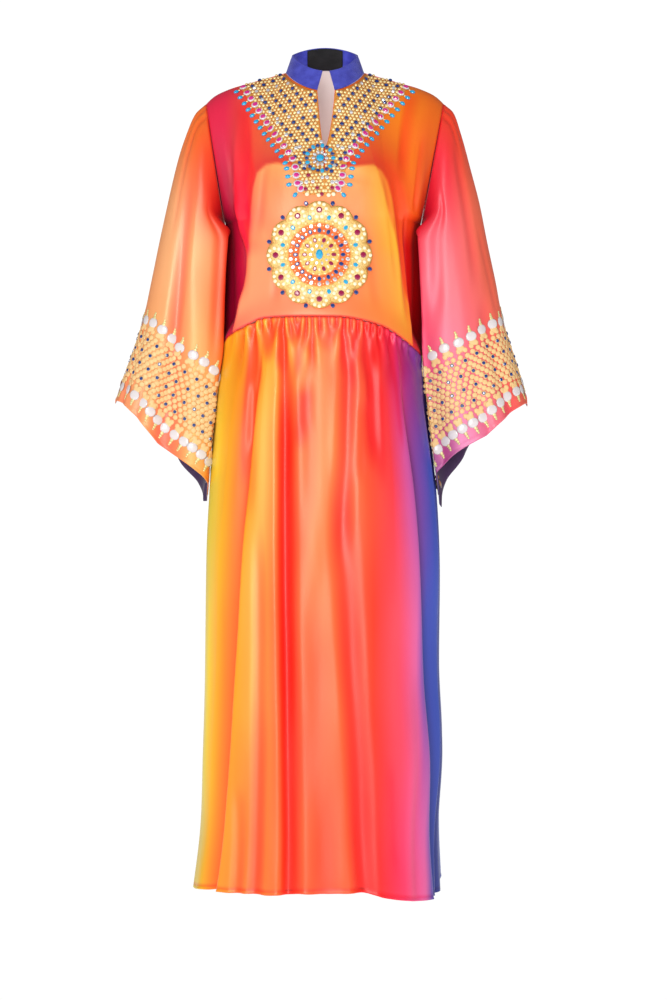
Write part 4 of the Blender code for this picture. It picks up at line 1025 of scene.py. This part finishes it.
def makeLabel():
    drops, xs = np.linspace(0, 1, 13), np.linspace(-1, 1, 25)
    drop, place = np.meshgrid(drops, xs, indexing="ij")
    x = label["half"] * place
    narrow = bodice["neckWidth"] - collar["lean"] - collar["thickness"]
    top, inward = collarPoint(np.arcsin(x / narrow) / math.pi, 0 * x + label["top"])
    foot, inward = collarPoint(np.arcsin(x / bodice["neckWidth"]) / math.pi, 0 * x)
    slide = np.minimum(1.0, drop * label["height"] / (top[..., 2] - foot[..., 2]))
    spot = top + (foot - top) * slide[..., None]
    spot[..., 0] = x
    spot[..., 2] = top[..., 2] - drop * label["height"]
    spot = spot + inward * (collar["thickness"] + label["gap"] + label["thickness"])
    return makePanel(
        "neckLabel", [(spot, np.stack([place / 2 + 0.5, drop], -1), 0 * drop)], [labelCloth, labelCloth],
        -label["thickness"], turned=True)


def wovenCloth(name, code, darker, pitch, roughness, slubs=60.0):
    bench = NodeBench(name)
    where = bench.add("ShaderNodeTexCoord").outputs["Object"]
    slub = bench.noise(slubs, (1, 1, 1.6), 4.0)
    colour = bench.ramp(slub, ((0.32, darker), (0.66, code)))
    inputs = {"Vector": where, "Scale": 1 / pitch, "Distortion": 0.6}
    warp = bench.add("ShaderNodeTexWave", inputs, bands_direction="DIAGONAL").outputs["Fac"]
    weft = bench.add("ShaderNodeTexWave", inputs, bands_direction="Z").outputs["Fac"]
    height = bench.maths("ADD", warp, weft)
    weave = bench.add("ShaderNodeBump", {"Height": height, "Distance": 0.0002, "Strength": 0.6})
    return bench.finish(
        colour=colour, roughness=roughness, specular=0.35, sheen=0.15, sheenRoughness=0.4,
        normal=weave.outputs[0])


collarCloth = wovenCloth("collarCloth", "#4A50C0", "#3A3CA8", 0.0016, 0.5)
collarLining = wovenCloth("collarLining", "#565EE0", "#2A30A8", 0.0016, 0.35, 30.0)
labelCloth = wovenCloth("labelCloth", "#242426", "#18181A", 0.0011, 0.65)
standCollar = makeCollar()
neckLabel = makeLabel()
print("collar and label made")


# Beads and stones: each kind is modelled once and copied to its places


def beadMaster(name, kind):
    deselectAll()
    if kind in ("dome", "pearl"):
        segments, rings = (8, 5) if kind == "dome" else (12, 7)
        bpy.ops.mesh.primitive_uv_sphere_add(segments=segments, ring_count=rings, radius=1.0)
    else:
        bpy.ops.mesh.primitive_cylinder_add(vertices=8, radius=1.0, depth=1.0, location=(0, 0, 0.5))
    master = bpy.context.object
    master.name = name
    makeActive(master)
    bpy.ops.object.transform_apply(location=True, rotation=True, scale=True)
    bpy.ops.object.mode_set(mode="EDIT")
    bpy.ops.mesh.select_all(action="DESELECT")
    bpy.ops.object.mode_set(mode="OBJECT")
    mesh = master.data
    if kind in ("dome", "pearl"):
        for v in mesh.vertices:
            v.select = v.co.z < -0.01
        bpy.ops.object.mode_set(mode="EDIT")
        bpy.ops.transform.resize(value=(1, 1, 0.25), center_override=(0, 0, 0))
    else:
        for face in mesh.polygons:
            face.select = face.normal.z > 0.9
        bpy.ops.object.mode_set(mode="EDIT")
        bpy.ops.mesh.bevel(offset=0.42, offset_type="OFFSET", segments=1, affect="EDGES")
    bpy.ops.object.mode_set(mode="OBJECT")
    points = np.array([v.co for v in mesh.vertices])
    faces = [list(face.vertices) for face in mesh.polygons]
    bpy.data.objects.remove(master)
    return points, faces, kind != "gem"


masters = {kind: beadMaster(kind + "Master", kind) for kind in ("dome", "pearl", "gem")}


# Copies of a master at places: where, the way out, the way along and the three sizes
def strew(name, kind, places, finish):
    points, faces, smooth = masters[kind]
    spots, corners = [], []
    for where, out, along, size in places:
        out = np.array(out) / np.linalg.norm(out)
        along = np.array(along) - out * np.dot(along, out)
        along /= max(np.linalg.norm(along), 1e-9)
        beside = np.cross(out, along)
        turned = np.array([along * size[0], beside * size[1], out * size[2]])
        first = len(spots)
        spots += (points @ turned + np.array(where)).tolist()
        corners += [[first + v for v in face] for face in faces]
    mesh = bpy.data.meshes.new(name)
    mesh.from_pydata(spots, [], corners)
    # each point's height in its bead, for the painted shade round the foot
    crown = mesh.attributes.new("crown", "FLOAT", "POINT")
    heights = np.clip(points[:, 2] / points[:, 2].max(), 0, 1)
    crown.data.foreach_set("value", np.tile(heights, len(places)).astype(np.float32))
    mesh.materials.append(finish)
    mesh.update()
    if smooth:
        mesh.shade_smooth()
    return addObject(name, mesh)


goldFinish = gloss("goldFinish", "#FFE2A0", "#BC7428", 0.22, metallic=0.25, specular=0.8)
paleGoldFinish = gloss("paleGoldFinish", "#E4D898", "#A88840", 0.34, metallic=0.25, specular=0.5)
pearlFinish = gloss("pearlFinish", "#DCD4D4", "#A8968E", 0.24, specular=0.5, coat=0.3)
creamPearlFinish = gloss("creamPearlFinish", "#FCF0CC", "#C89844", 0.25, specular=0.6, coat=0.4)
navyFinish = gloss("navyFinish", "#1A3A80", "#081234", 0.06, specular=0.9, coat=0.8)
crystalFinish = gloss("crystalFinish", "#F4F6FA", "#A8B0C0", 0.08, metallic=0.55, specular=0.9, coat=0.5)
turquoiseFinish = gloss("turquoiseFinish", "#20A8D8", "#0C5C98", 0.08, specular=0.9, coat=0.8)
magentaFinish = gloss("magentaFinish", "#D0288C", "#7A0C4C", 0.07, specular=0.9, coat=0.8)
rubyFinish = gloss("rubyFinish", "#9C1648", "#4C0824", 0.07, specular=0.9, coat=0.8)
printGoldFinish = gloss("printGoldFinish", "#EEC488", "#C4803C", 0.45, specular=0.35, scale=90.0)

frontTree = BVHTree.FromPolygons(
    [v.co for v in frontBodice.data.vertices],
    [list(p.vertices) for p in frontBodice.data.polygons])


# The place on the front of the bodice seen at x, z from the front
def onFront(x, z, lift=0.0):
    spot, out, _, _ = frontTree.ray_cast(Vector((x, -1.0, z)), Vector((0, 1, 0)))
    if spot is None:
        return None
    return spot + out * lift, out


yoke = {
    "edge": (
        (0.000, -0.231), (0.027, -0.228), (0.040, -0.216), (0.043, -0.195),
        (0.046, -0.174), (0.058, -0.153), (0.147, -0.0265),
    ),
    "shift": -0.009, "core": -0.196, "slitTop": -0.047, "turn": 16 / 28, "ground": 0.0010,
    "pitch": 0.0066, "bead": 0.0032, "beadHeight": 0.0030,
    "stone": 0.0034, "stoneHeight": 0.0030, "tailTop": -0.194,
    "slitMargin": 0.004, "collarMargin": 0.004,
    "ovalPitch": 0.0142, "oval": (0.0072, 0.0063, 0.0026), "ovalStone": (0.0048, 0.0037, 0.0026),
    "bottomHalf": 0.031,
    "drop": (0.0052, 0.0038, 0.0034), "dropReach": 0.0145, "linkReach": 0.0086,
    "innerStone": 0.0038, "innerReach": -0.0150,
}


def yokeEdgeAt(distance):
    table = yoke["edge"]
    lengths = [math.dist(a, b) for a, b in zip(table, table[1:])]
    for (low, high), length in zip(zip(table, table[1:]), lengths):
        if distance <= length or high is table[-1]:
            break
        distance -= length
    run = distance / length
    half, z = blend(low[0], high[0], run), blend(low[1], high[1], run)
    tangent = ((high[0] - low[0]) / length, (high[1] - low[1]) / length)
    return half, z, tangent


yokeLength = sum(math.dist(a, b) for a, b in zip(yoke["edge"], yoke["edge"][1:]))


def yokeShift(half, z):
    return yoke["shift"] * float(smoothStep(-z / 0.15) * smoothStep(half / 0.03))


def edgeHalf(z):
    rows = [(zz, half) for half, zz in yoke["edge"]]
    return float(np.interp(z, [r[0] for r in rows], [r[1] for r in rows]))


def neckLineZ(x):
    turn = math.asin(min(1.0, abs(x) / bodice["neckWidth"]))
    return -bodice["neckDrop"] * max(0.0, math.cos(turn)) ** bodice["neckCurve"]


def shoulderZ(x):
    line = bodice["shoulderLine"]
    return float(np.interp(abs(x), [p[0] for p in line], [p[1] for p in line]))


def inYoke(x, z, margin):
    if abs(x - yoke["shift"] * float(smoothStep(-z / 0.15))) > edgeHalf(z) - margin:
        return False
    if abs(x) < bodice["neckWidth"] + yoke["collarMargin"]:
        if z > neckLineZ(x * 0.95) - yoke["collarMargin"]:
            return False
    elif z > shoulderZ(x) - 0.001:
        return False
    if z < -bodice["slitDepth"] - 0.003:
        return True
    return abs(x - bodice["neckShift"]) > float(slitHalf(np.array(z))) + yoke["slitMargin"]


beads = {key: [] for key in (
    "gold", "navy", "crystal", "oval", "ovalStone", "drop", "link", "turquoise", "ruby", "cream")}


def setBead(kind, x, z, size, along=(0, 0, -1), lift=0.0003):
    found = onFront(x, z, lift)
    if found:
        beads[kind].append((found[0], found[1], along, size))


def layYoke():
    pitch = yoke["pitch"]
    slope = math.atan2(0.1265, 0.089)
    for side in (-1, 1):
        run = (side * math.cos(slope), math.sin(slope))
        rise = (-side * math.sin(slope), math.cos(slope))
        for i in range(-40, 60):
            for j in range(-50, 50):
                a = (i + 0.5 * (j % 2)) * pitch
                b = j * pitch * 0.87
                x = side * 0.058 + run[0] * a + rise[0] * b
                z = -0.153 + run[1] * a + rise[1] * b
                if x * side < 0.0005 or not inYoke(x, z, 0.009):
                    continue
                if math.hypot(x - rosette["x"], z - rosette["z"]) < rosette["clear"]:
                    continue
                low = z < yoke["tailTop"]
                if j % 3 == 0 and (i + j // 3) % 2 == 0:
                    kind = "crystal" if (i + 2 * j) % 5 == 0 else "ruby" if low else "navy"
                    size = (yoke["stone"],) * 2 + (yoke["stoneHeight"],)
                else:
                    kind = "gold"
                    wobble = 1 + 0.10 * math.sin(7.3 * i + 3.1 * j)
                    size = (yoke["bead"] * wobble,) * 2 + (yoke["beadHeight"],)
                setBead(kind, x, z, size, lift=yoke["ground"])
        count = round(yokeLength / yoke["ovalPitch"])
        for k in range(count):
            distance = (k + 0.6) * yokeLength / count
            half, z, tangent = yokeEdgeAt(distance)
            away = (tangent[1] * side, -tangent[0])
            x = side * half + yokeShift(half, z)
            along = (away[0], 0, away[1])
            if half < yoke["bottomHalf"]:
                setBead("cream", x, z, (0.0040, 0.0040, 0.0030), along, 0.0010)
                continue
            x, z = x - away[0] * 0.004, z - away[1] * 0.004
            setBead("oval", x, z, yoke["oval"], along, 0.0010)
            setBead("ovalStone", x, z, yoke["ovalStone"], along, 0.0026)
            for kind, reach, size in (
                ("drop", yoke["dropReach"], yoke["drop"]),
                ("link", yoke["linkReach"], (0.0024, 0.0018, 0.0018)),
            ):
                setBead(kind, x + away[0] * reach, z + away[1] * reach, size, along)
            if k % 2:
                reach = yoke["innerReach"]
                size = (yoke["innerStone"], yoke["innerStone"], 0.0034)
                setBead("crystal", x + away[0] * reach, z + away[1] * reach, size, along, 0.0012)
    # central rosette: a round stone in rings of crystals and small stones
    cx, cz = rosette["x"], rosette["z"]
    setBead("turquoise", cx, cz, (0.0068, 0.0068, 0.0056), lift=0.0014)
    for count, radius, kind, size, phase in (
        (10, 0.0112, "crystal", (0.0036, 0.0028, 0.0036), 0.0),
        (14, 0.0170, "gold", (0.0026, 0.0026, 0.0028), 0.0),
        (9, 0.0226, "turquoise", (0.0042, 0.0036, 0.0032), 0.0),
        (9, 0.0226, "navy", (0.0034, 0.0034, 0.0030), 0.5),
    ):
        for k in range(count):
            turn = 2 * math.pi * (k + phase) / count
            along = (math.cos(turn), 0, math.sin(turn))
            setBead(kind, cx + radius * along[0], cz + radius * along[2], size, along, 0.0012)


medallion = {"x": -0.009, "z": -0.331, "wide": 0.088, "tall": 0.091, "lobes": 12, "thickness": 0.0016}


def layMedallion():
    m = medallion

    def ring(count, reach, kind, size, phase=0.0, lift=0.0020):
        for k in range(count):
            turn = 2 * math.pi * (k + phase) / count
            along = (math.sin(turn), 0, math.cos(turn))
            x, z = m["x"] + m["wide"] * reach * along[0], m["z"] + m["tall"] * reach * along[2]
            setBead(kind, x, z, size, along, lift)

    for k in range(m["lobes"]):
        turn = 2 * math.pi * k / m["lobes"]
        x = m["x"] + m["wide"] * 0.83 * math.sin(turn)
        z = m["z"] + m["tall"] * 0.83 * math.cos(turn)
        setBead("ruby", x, z, (0.0052, 0.0052, 0.0040), lift=0.0026)
        for petal in range(9):
            way = 2 * math.pi * petal / 9 + turn
            px, pz = x + 0.0118 * math.sin(way), z + 0.0118 * math.cos(way)
            along = (math.sin(way), 0, math.cos(way))
            setBead("cream", px, pz, (0.0042, 0.0041, 0.0038), along, 0.0018)
        for petal in range(6):
            way = 2 * math.pi * (petal + 0.5) / 6 + turn
            px, pz = x + 0.0070 * math.sin(way), z + 0.0070 * math.cos(way)
            setBead("gold", px, pz, (0.0017, 0.0017, 0.0022), lift=0.0024)
    ring(m["lobes"], 0.985, "navy", (0.0040, 0.0036, 0.0034), 0.5)
    ring(m["lobes"], 0.71, "turquoise", (0.0044, 0.0036, 0.0034), 0.5)
    ring(30, 0.635, "gold", (0.0030, 0.0030, 0.0028))
    ring(22, 0.545, "crystal", (0.0038, 0.0034, 0.0034))
    ring(22, 0.545, "link", (0.0018, 0.0018, 0.0024), 0.5)
    ring(16, 0.450, "navy", (0.0042, 0.0034, 0.0034))
    ring(16, 0.450, "crystal", (0.0022, 0.0022, 0.0026), 0.5)
    ring(20, 0.365, "gold", (0.0030, 0.0030, 0.0028))
    ring(10, 0.275, "ruby", (0.0046, 0.0034, 0.0036), 0.5)
    ring(10, 0.275, "cream", (0.0044, 0.0028, 0.0030))
    ring(10, 0.165, "crystal", (0.0036, 0.0028, 0.0036), 0.5)
    setBead("turquoise", m["x"], m["z"], (0.0062, 0.0088, 0.0060), (1, 0, 0), 0.0026)


rosette = {"x": -0.008, "z": -0.166, "clear": 0.028}
layYoke()
layMedallion()
print("beads laid", {key: len(value) for key, value in beads.items()})


# Thread-covered grounds that the beads are sewn to


# Metal thread of one or more colours from a ground's middle outwards
def threadGround(name, stops, stitch):
    bench = NodeBench(name)
    place = bench.add("ShaderNodeUVMap", uv_map="dye").outputs[0]
    split = bench.add("ShaderNodeSeparateXYZ", {0: place})
    colour = bench.ramp(split.outputs[0], stops)
    grain = bench.noise(stitch, (1, 1, 1), 3.0)
    shade = bench.ramp(grain, ((0.34, "#D0C4B4"), (0.60, "#FFFFFF")))
    colour = bench.mixColours(1.0, colour, shade, "MULTIPLY")
    rough = bench.add("ShaderNodeBump", {"Height": grain, "Distance": 0.0006, "Strength": 0.7})
    return bench.finish(
        colour=colour, roughness=0.5, metallic=0.1, specular=0.4, normal=rough.outputs[0])


groundFinish = threadGround("groundFinish", ((0.0, "#E0943C"), (1.0, "#F0A850")), 480.0)
medallionFinish = threadGround("medallionFinish", (
    (0.00, "#F4C868"), (0.40, "#F4C868"), (0.43, "#F06A20"), (0.62, "#F4742A"),
    (0.655, "#F0C468"), (0.80, "#FCE09C"), (0.90, "#F4CC7C"), (1.00, "#E0AC54")), 420.0)


def medallionGrid():
    m = medallion
    rings, columns = np.linspace(0.02, 1, 26), 240
    grid = np.zeros((len(rings), columns + 1, 3))
    for i, ring in enumerate(rings):
        for k in range(columns + 1):
            turn = 2 * math.pi * (k % columns) / columns
            lobe = abs(math.cos(turn * m["lobes"] / 2)) ** 0.7
            reach = ring * (0.91 + 0.09 * lobe * float(smoothStep((ring - 0.5) / 0.5)))
            rim = 0.0010 * lobe * bell(ring - 0.86, 0.09)
            dome = 0.0018 * float(smoothStep(1 - ring / 0.45))
            x = m["x"] + m["wide"] * reach * math.sin(turn)
            z = m["z"] + m["tall"] * reach * math.cos(turn)
            grid[i, k] = onFront(x, z, 0.0004 + m["thickness"] + rim + dome)[0]
    dye = np.repeat(rings[:, None], columns + 1, 1)
    return grid, np.stack([dye, dye], -1), 0 * dye


medallionGround = makePanel(
    "medallionGround", [medallionGrid()], [medallionFinish], medallion["thickness"], closed=True)


# The yoke's inner line goes up the centre and the slit and then round the neck
def yokeInside(side, share):
    if share <= yoke["turn"]:
        z = blend(yoke["core"], yoke["slitTop"], share / yoke["turn"])
        if z < -bodice["slitDepth"]:
            return 0.0, z
        open_ = float(slitHalf(np.array(z)))
        shift = bodice["neckShift"] * float(smoothStep(open_ / bodice["slitHalf"]))
        return side * (open_ + 0.0008) + shift, z
    run = (share - yoke["turn"]) / (1 - yoke["turn"]) * 0.985
    near = neckPoint(np.array(run), False)
    return side * near[0] * 1.03 + bodice["neckShift"] * (1 - run), near[2] - 0.0035


def yokeGrid(side):
    columns, rows = 112, 24
    grid = np.zeros((rows + 1, columns + 1, 3))
    for c in range(columns + 1):
        half, z, _ = yokeEdgeAt(yokeLength * c / columns)
        x = side * half + yokeShift(half, z)
        nx, nz = yokeInside(side, c / columns)
        for r in range(rows + 1):
            px, pz = blend(nx, x, r / rows), blend(nz, z, r / rows)
            found = onFront(px, pz, yoke["ground"])
            grid[r, c] = found[0] if found else (px, grid[r - 1, c][1], pz)
    if side < 0:
        grid = grid[:, ::-1]
    plain = np.full(grid.shape[:2], 0.5)
    return grid, np.stack([plain, plain], -1), 0 * plain


yokeGround = makePanel("yokeGround", [yokeGrid(-1), yokeGrid(1)], [groundFinish], 0.0008)
print("grounds made")

beadPieces = {}
for key, kind, finish in (
    ("gold", "dome", goldFinish), ("navy", "gem", navyFinish), ("crystal", "gem", crystalFinish),
    ("oval", "pearl", pearlFinish),
    ("ovalStone", "gem", magentaFinish), ("drop", "pearl", turquoiseFinish),
    ("link", "dome", goldFinish), ("turquoise", "gem", turquoiseFinish),
    ("ruby", "gem", rubyFinish), ("cream", "dome", creamPearlFinish),
):
    beadPieces[key] = strew(key + "Beads", kind, beads[key], finish)


# Cuff bands: stones in flowers of printed gold beads between rows of pearls

cuff = {
    "pitch": 0.0195, "rowStep": 0.0073, "stoneRows": 4,
    "firstRow": 0.0600,       # from the hem to the lowest row of stones
    "lean": 0.42,             # how far the columns lean to the under-arm seam on the way up
    "ball": (0.0050, 0.0052, 0.0011),
    "stone": (0.0031, 0.0031, 0.0018),
    "pearl": (0.0092, 0.0102, 0.0020), "pearlGap": 0.0245,
    "cup": (0.0052, 0.0048, 0.0011),
    "finial": ((0.0112, 0.0036), (0.0158, 0.0030), (0.0196, 0.0022)),
}


# Finds a place on a sleeve from its share round the hem and its distance up from it
def cuffPlacer(side):
    alongs, turns = np.linspace(0.45, 1, 150), np.linspace(0, 360, 721)
    along, turn = np.meshgrid(alongs, turns, indexing="ij")
    grid = sleevePoint(side, along, turn % 360)[0]
    out = gridNormals(grid) * (-1 if side > 0 else 1)
    hem = np.concatenate([[0], np.cumsum(np.linalg.norm(np.diff(grid[-1], axis=0), axis=1))])
    steps = np.linalg.norm(np.diff(grid[::-1], axis=0), axis=2)
    fromHem = np.concatenate([np.zeros((1, grid.shape[1])), np.cumsum(steps, axis=0)])[::-1]

    def place(share, distance):
        front = share < 0.5
        fromTop = share if front else 1 - share
        lean = cuff["lean"] * float(smoothStep(fromTop / 0.30)) * distance / hem[-1]
        share = share + lean if front else share - lean
        if (share > 0.5) == front:
            return None
        column = int(round(float(np.interp(share * hem[-1], hem, np.arange(len(hem))))))
        column = min(column, grid.shape[1] - 1)
        rows = fromHem[::-1, column]
        up = distance * blend(0.93, 1.12, float(smoothStep(fromTop / 0.24)))
        row = len(rows) - 1 - float(np.interp(up, rows, np.arange(len(rows))))
        low = int(np.clip(math.floor(row), 0, len(rows) - 2))
        t = row - low
        spot = grid[low, column] * (1 - t) + grid[low + 1, column] * t
        normal = out[low, column] * (1 - t) + out[low + 1, column] * t
        down = grid[low + 1, column] - grid[low, column]
        beside = grid[low, min(column + 1, grid.shape[1] - 1)] - grid[low, max(column - 1, 0)]
        beside = beside / np.linalg.norm(beside) * np.linalg.norm(down)
        return spot, normal, down + beside * (-0.35 if front else 0.35)

    return place, float(hem[-1])


def makeCuff(side, word):
    place, length = cuffPlacer(side)
    count = round(length / cuff["pitch"])
    found = {key: [] for key in ("Balls", "Stones", "Pearls", "Finials")}

    def put(key, share, distance, size, lift=0.0):
        where = place(share % 1.0, distance)
        if where is None:
            return
        spot, normal, down = where
        normal = normal / np.linalg.norm(normal)
        found[key].append((spot + normal * lift, normal, down, size))

    for k in range(count):
        for row in range(cuff["stoneRows"]):
            share = (k + 0.25 * (row % 2)) / count
            height = cuff["firstRow"] + row * 3 * cuff["rowStep"]
            put("Stones", share, height, cuff["stone"], 0.0009)
            for dx, dy in ((0.0, 0), (0.5, 0), (-0.25, -1), (0.25, -1), (-0.25, 1), (0.25, 1)):
                put("Balls", share + dx / count, height + dy * cuff["rowStep"], cuff["ball"])
        top = cuff["firstRow"] + (3 * cuff["stoneRows"] - 2) * cuff["rowStep"]
        low = cuff["firstRow"] - cuff["rowStep"]
        for edge, way in ((top, 1), (low, -1)):
            share = (k + (0.25 if way > 0 else 0.0)) / count
            put("Pearls", share, edge + way * cuff["pearlGap"], cuff["pearl"])
            for dx, dy, grow in ((-0.22, 0.010, 1.0), (0.22, 0.010, 1.0), (0.0, 0.0150, 1.60)):
                size = (cuff["cup"][0] * grow, cuff["cup"][1] * grow, cuff["cup"][2])
                put("Balls", share + dx / count, edge + way * dy, size)
            for reach, size in cuff["finial"]:
                put("Finials", share, edge + way * (cuff["pearlGap"] + reach - 0.0015), (size, size, 0.0014))
    pieces = []
    for key, kind, finish in (
        ("Balls", "dome", printGoldFinish), ("Stones", "gem", navyFinish),
        ("Pearls", "pearl", pearlFinish), ("Finials", "dome", paleGoldFinish),
    ):
        pieces.append(strew(word + "Cuff" + key, kind, found[key], finish))
    print(word, "cuff", count, "repeats,", round(length, 3), "m round the hem")
    return pieces


cuffPieces = {1: makeCuff(1, "left"), -1: makeCuff(-1, "right")}


# Riding and replacing

for piece, node, slotName in (
    (frontBodice, "bodice_front", "bodice_satin"), (backBodice, "bodice_back", "bodice_satin"),
    (frontSkirt, "skirt_front", "skirt_satin"), (backSkirt, "skirt_back", "skirt_satin"),
    (sleevePieces[1], "sleeve_left", "sleeve_satin"),
    (sleevePieces[-1], "sleeve_right", "sleeve_satin"),
    (standCollar, "collar", "collar_satin"), (neckLabel, "neck_label", "label_cloth"),
    (yokeGround, "yoke_beading", "beadwork"), (medallionGround, "medallion", "beadwork"),
):
    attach(piece, "root")
    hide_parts(node)
for piece in [*beadPieces.values(), *cuffPieces[1], *cuffPieces[-1]]:
    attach(piece, "root")


# Studio

studio = {
    "floorZ": -1.50,
    "floorGlow": 1.02,
    "key": {"place": (-0.75, -4.4, -0.20), "width": 1.4, "height": 2.4, "power": 110.0},
    "fills": (((-3.2, -2.2, 0.3), 20.0), ((3.2, -2.2, 0.3), 20.0), ((0.0, 3.4, 0.4), 24.0)),
    "seen": 1.05, "ambient": 0.36, "mirrored": 0.12,
}


def aimAt(thing, target):
    way = Vector(target) - thing.location
    thing.rotation_euler = way.to_track_quat("-Z", "Y").to_euler()


def areaLight(name, place, width, height, power, target=(0, 0, -0.7)):
    lamp = bpy.data.lights.new(name, "AREA")
    lamp.energy = power
    lamp.shape = "RECTANGLE"
    lamp.size = width
    lamp.size_y = height
    holder = addObject(name, lamp)
    holder.location = place
    aimAt(holder, target)
    return holder


key = studio["key"]
areaLight("keyLight", key["place"], key["width"], key["height"], key["power"], (0, 0, -0.75))
for number, (place, power) in enumerate(studio["fills"]):
    fill = areaLight("fillLight" + str(number + 1), place, 2.0, 2.4, power)
    fill.visible_glossy = False

# The studio is white to the camera, bright to the cloth and dim in what shines
world = bpy.data.worlds.new("studioWorld")
scene.world = world
world.use_nodes = True
nodes, links = world.node_tree.nodes, world.node_tree.links
path = nodes.new("ShaderNodeLightPath")
light = nodes["Background"]
strength = studio["ambient"]
for ray, level in (("Is Glossy Ray", studio["mirrored"]), ("Is Camera Ray", studio["seen"])):
    mix = nodes.new("ShaderNodeMix")
    links.new(path.outputs[ray], mix.inputs[0])
    if isinstance(strength, float):
        mix.inputs[2].default_value = strength
    else:
        links.new(strength, mix.inputs[2])
    mix.inputs[3].default_value = level
    strength = mix.outputs[0]
light.inputs[0].default_value = (1, 1, 1, 1)
links.new(strength, light.inputs[1])

deselectAll()
bpy.ops.mesh.primitive_plane_add(size=60, location=(0, 0, studio["floorZ"]))
floor = bpy.context.object
floor.name = "paleFloor"
floorBench = NodeBench("floorPaint")
floorBench.finish(
    colour=(0, 0, 0, 1), roughness=1.0, specular=0.0, glow=(1, 1, 1, 1), glowStrength=studio["floorGlow"])
floor.data.materials.append(floorBench.material)

camera = addObject("camera", bpy.data.cameras.new("camera"))
camera.data.lens = 85
camera.data.sensor_width = 36
camera.location = (0.0148, -4.1, -0.743)
camera.rotation_euler = (math.pi / 2, 0, 0)
scene.camera = camera
scene.view_settings.view_transform = "Standard"
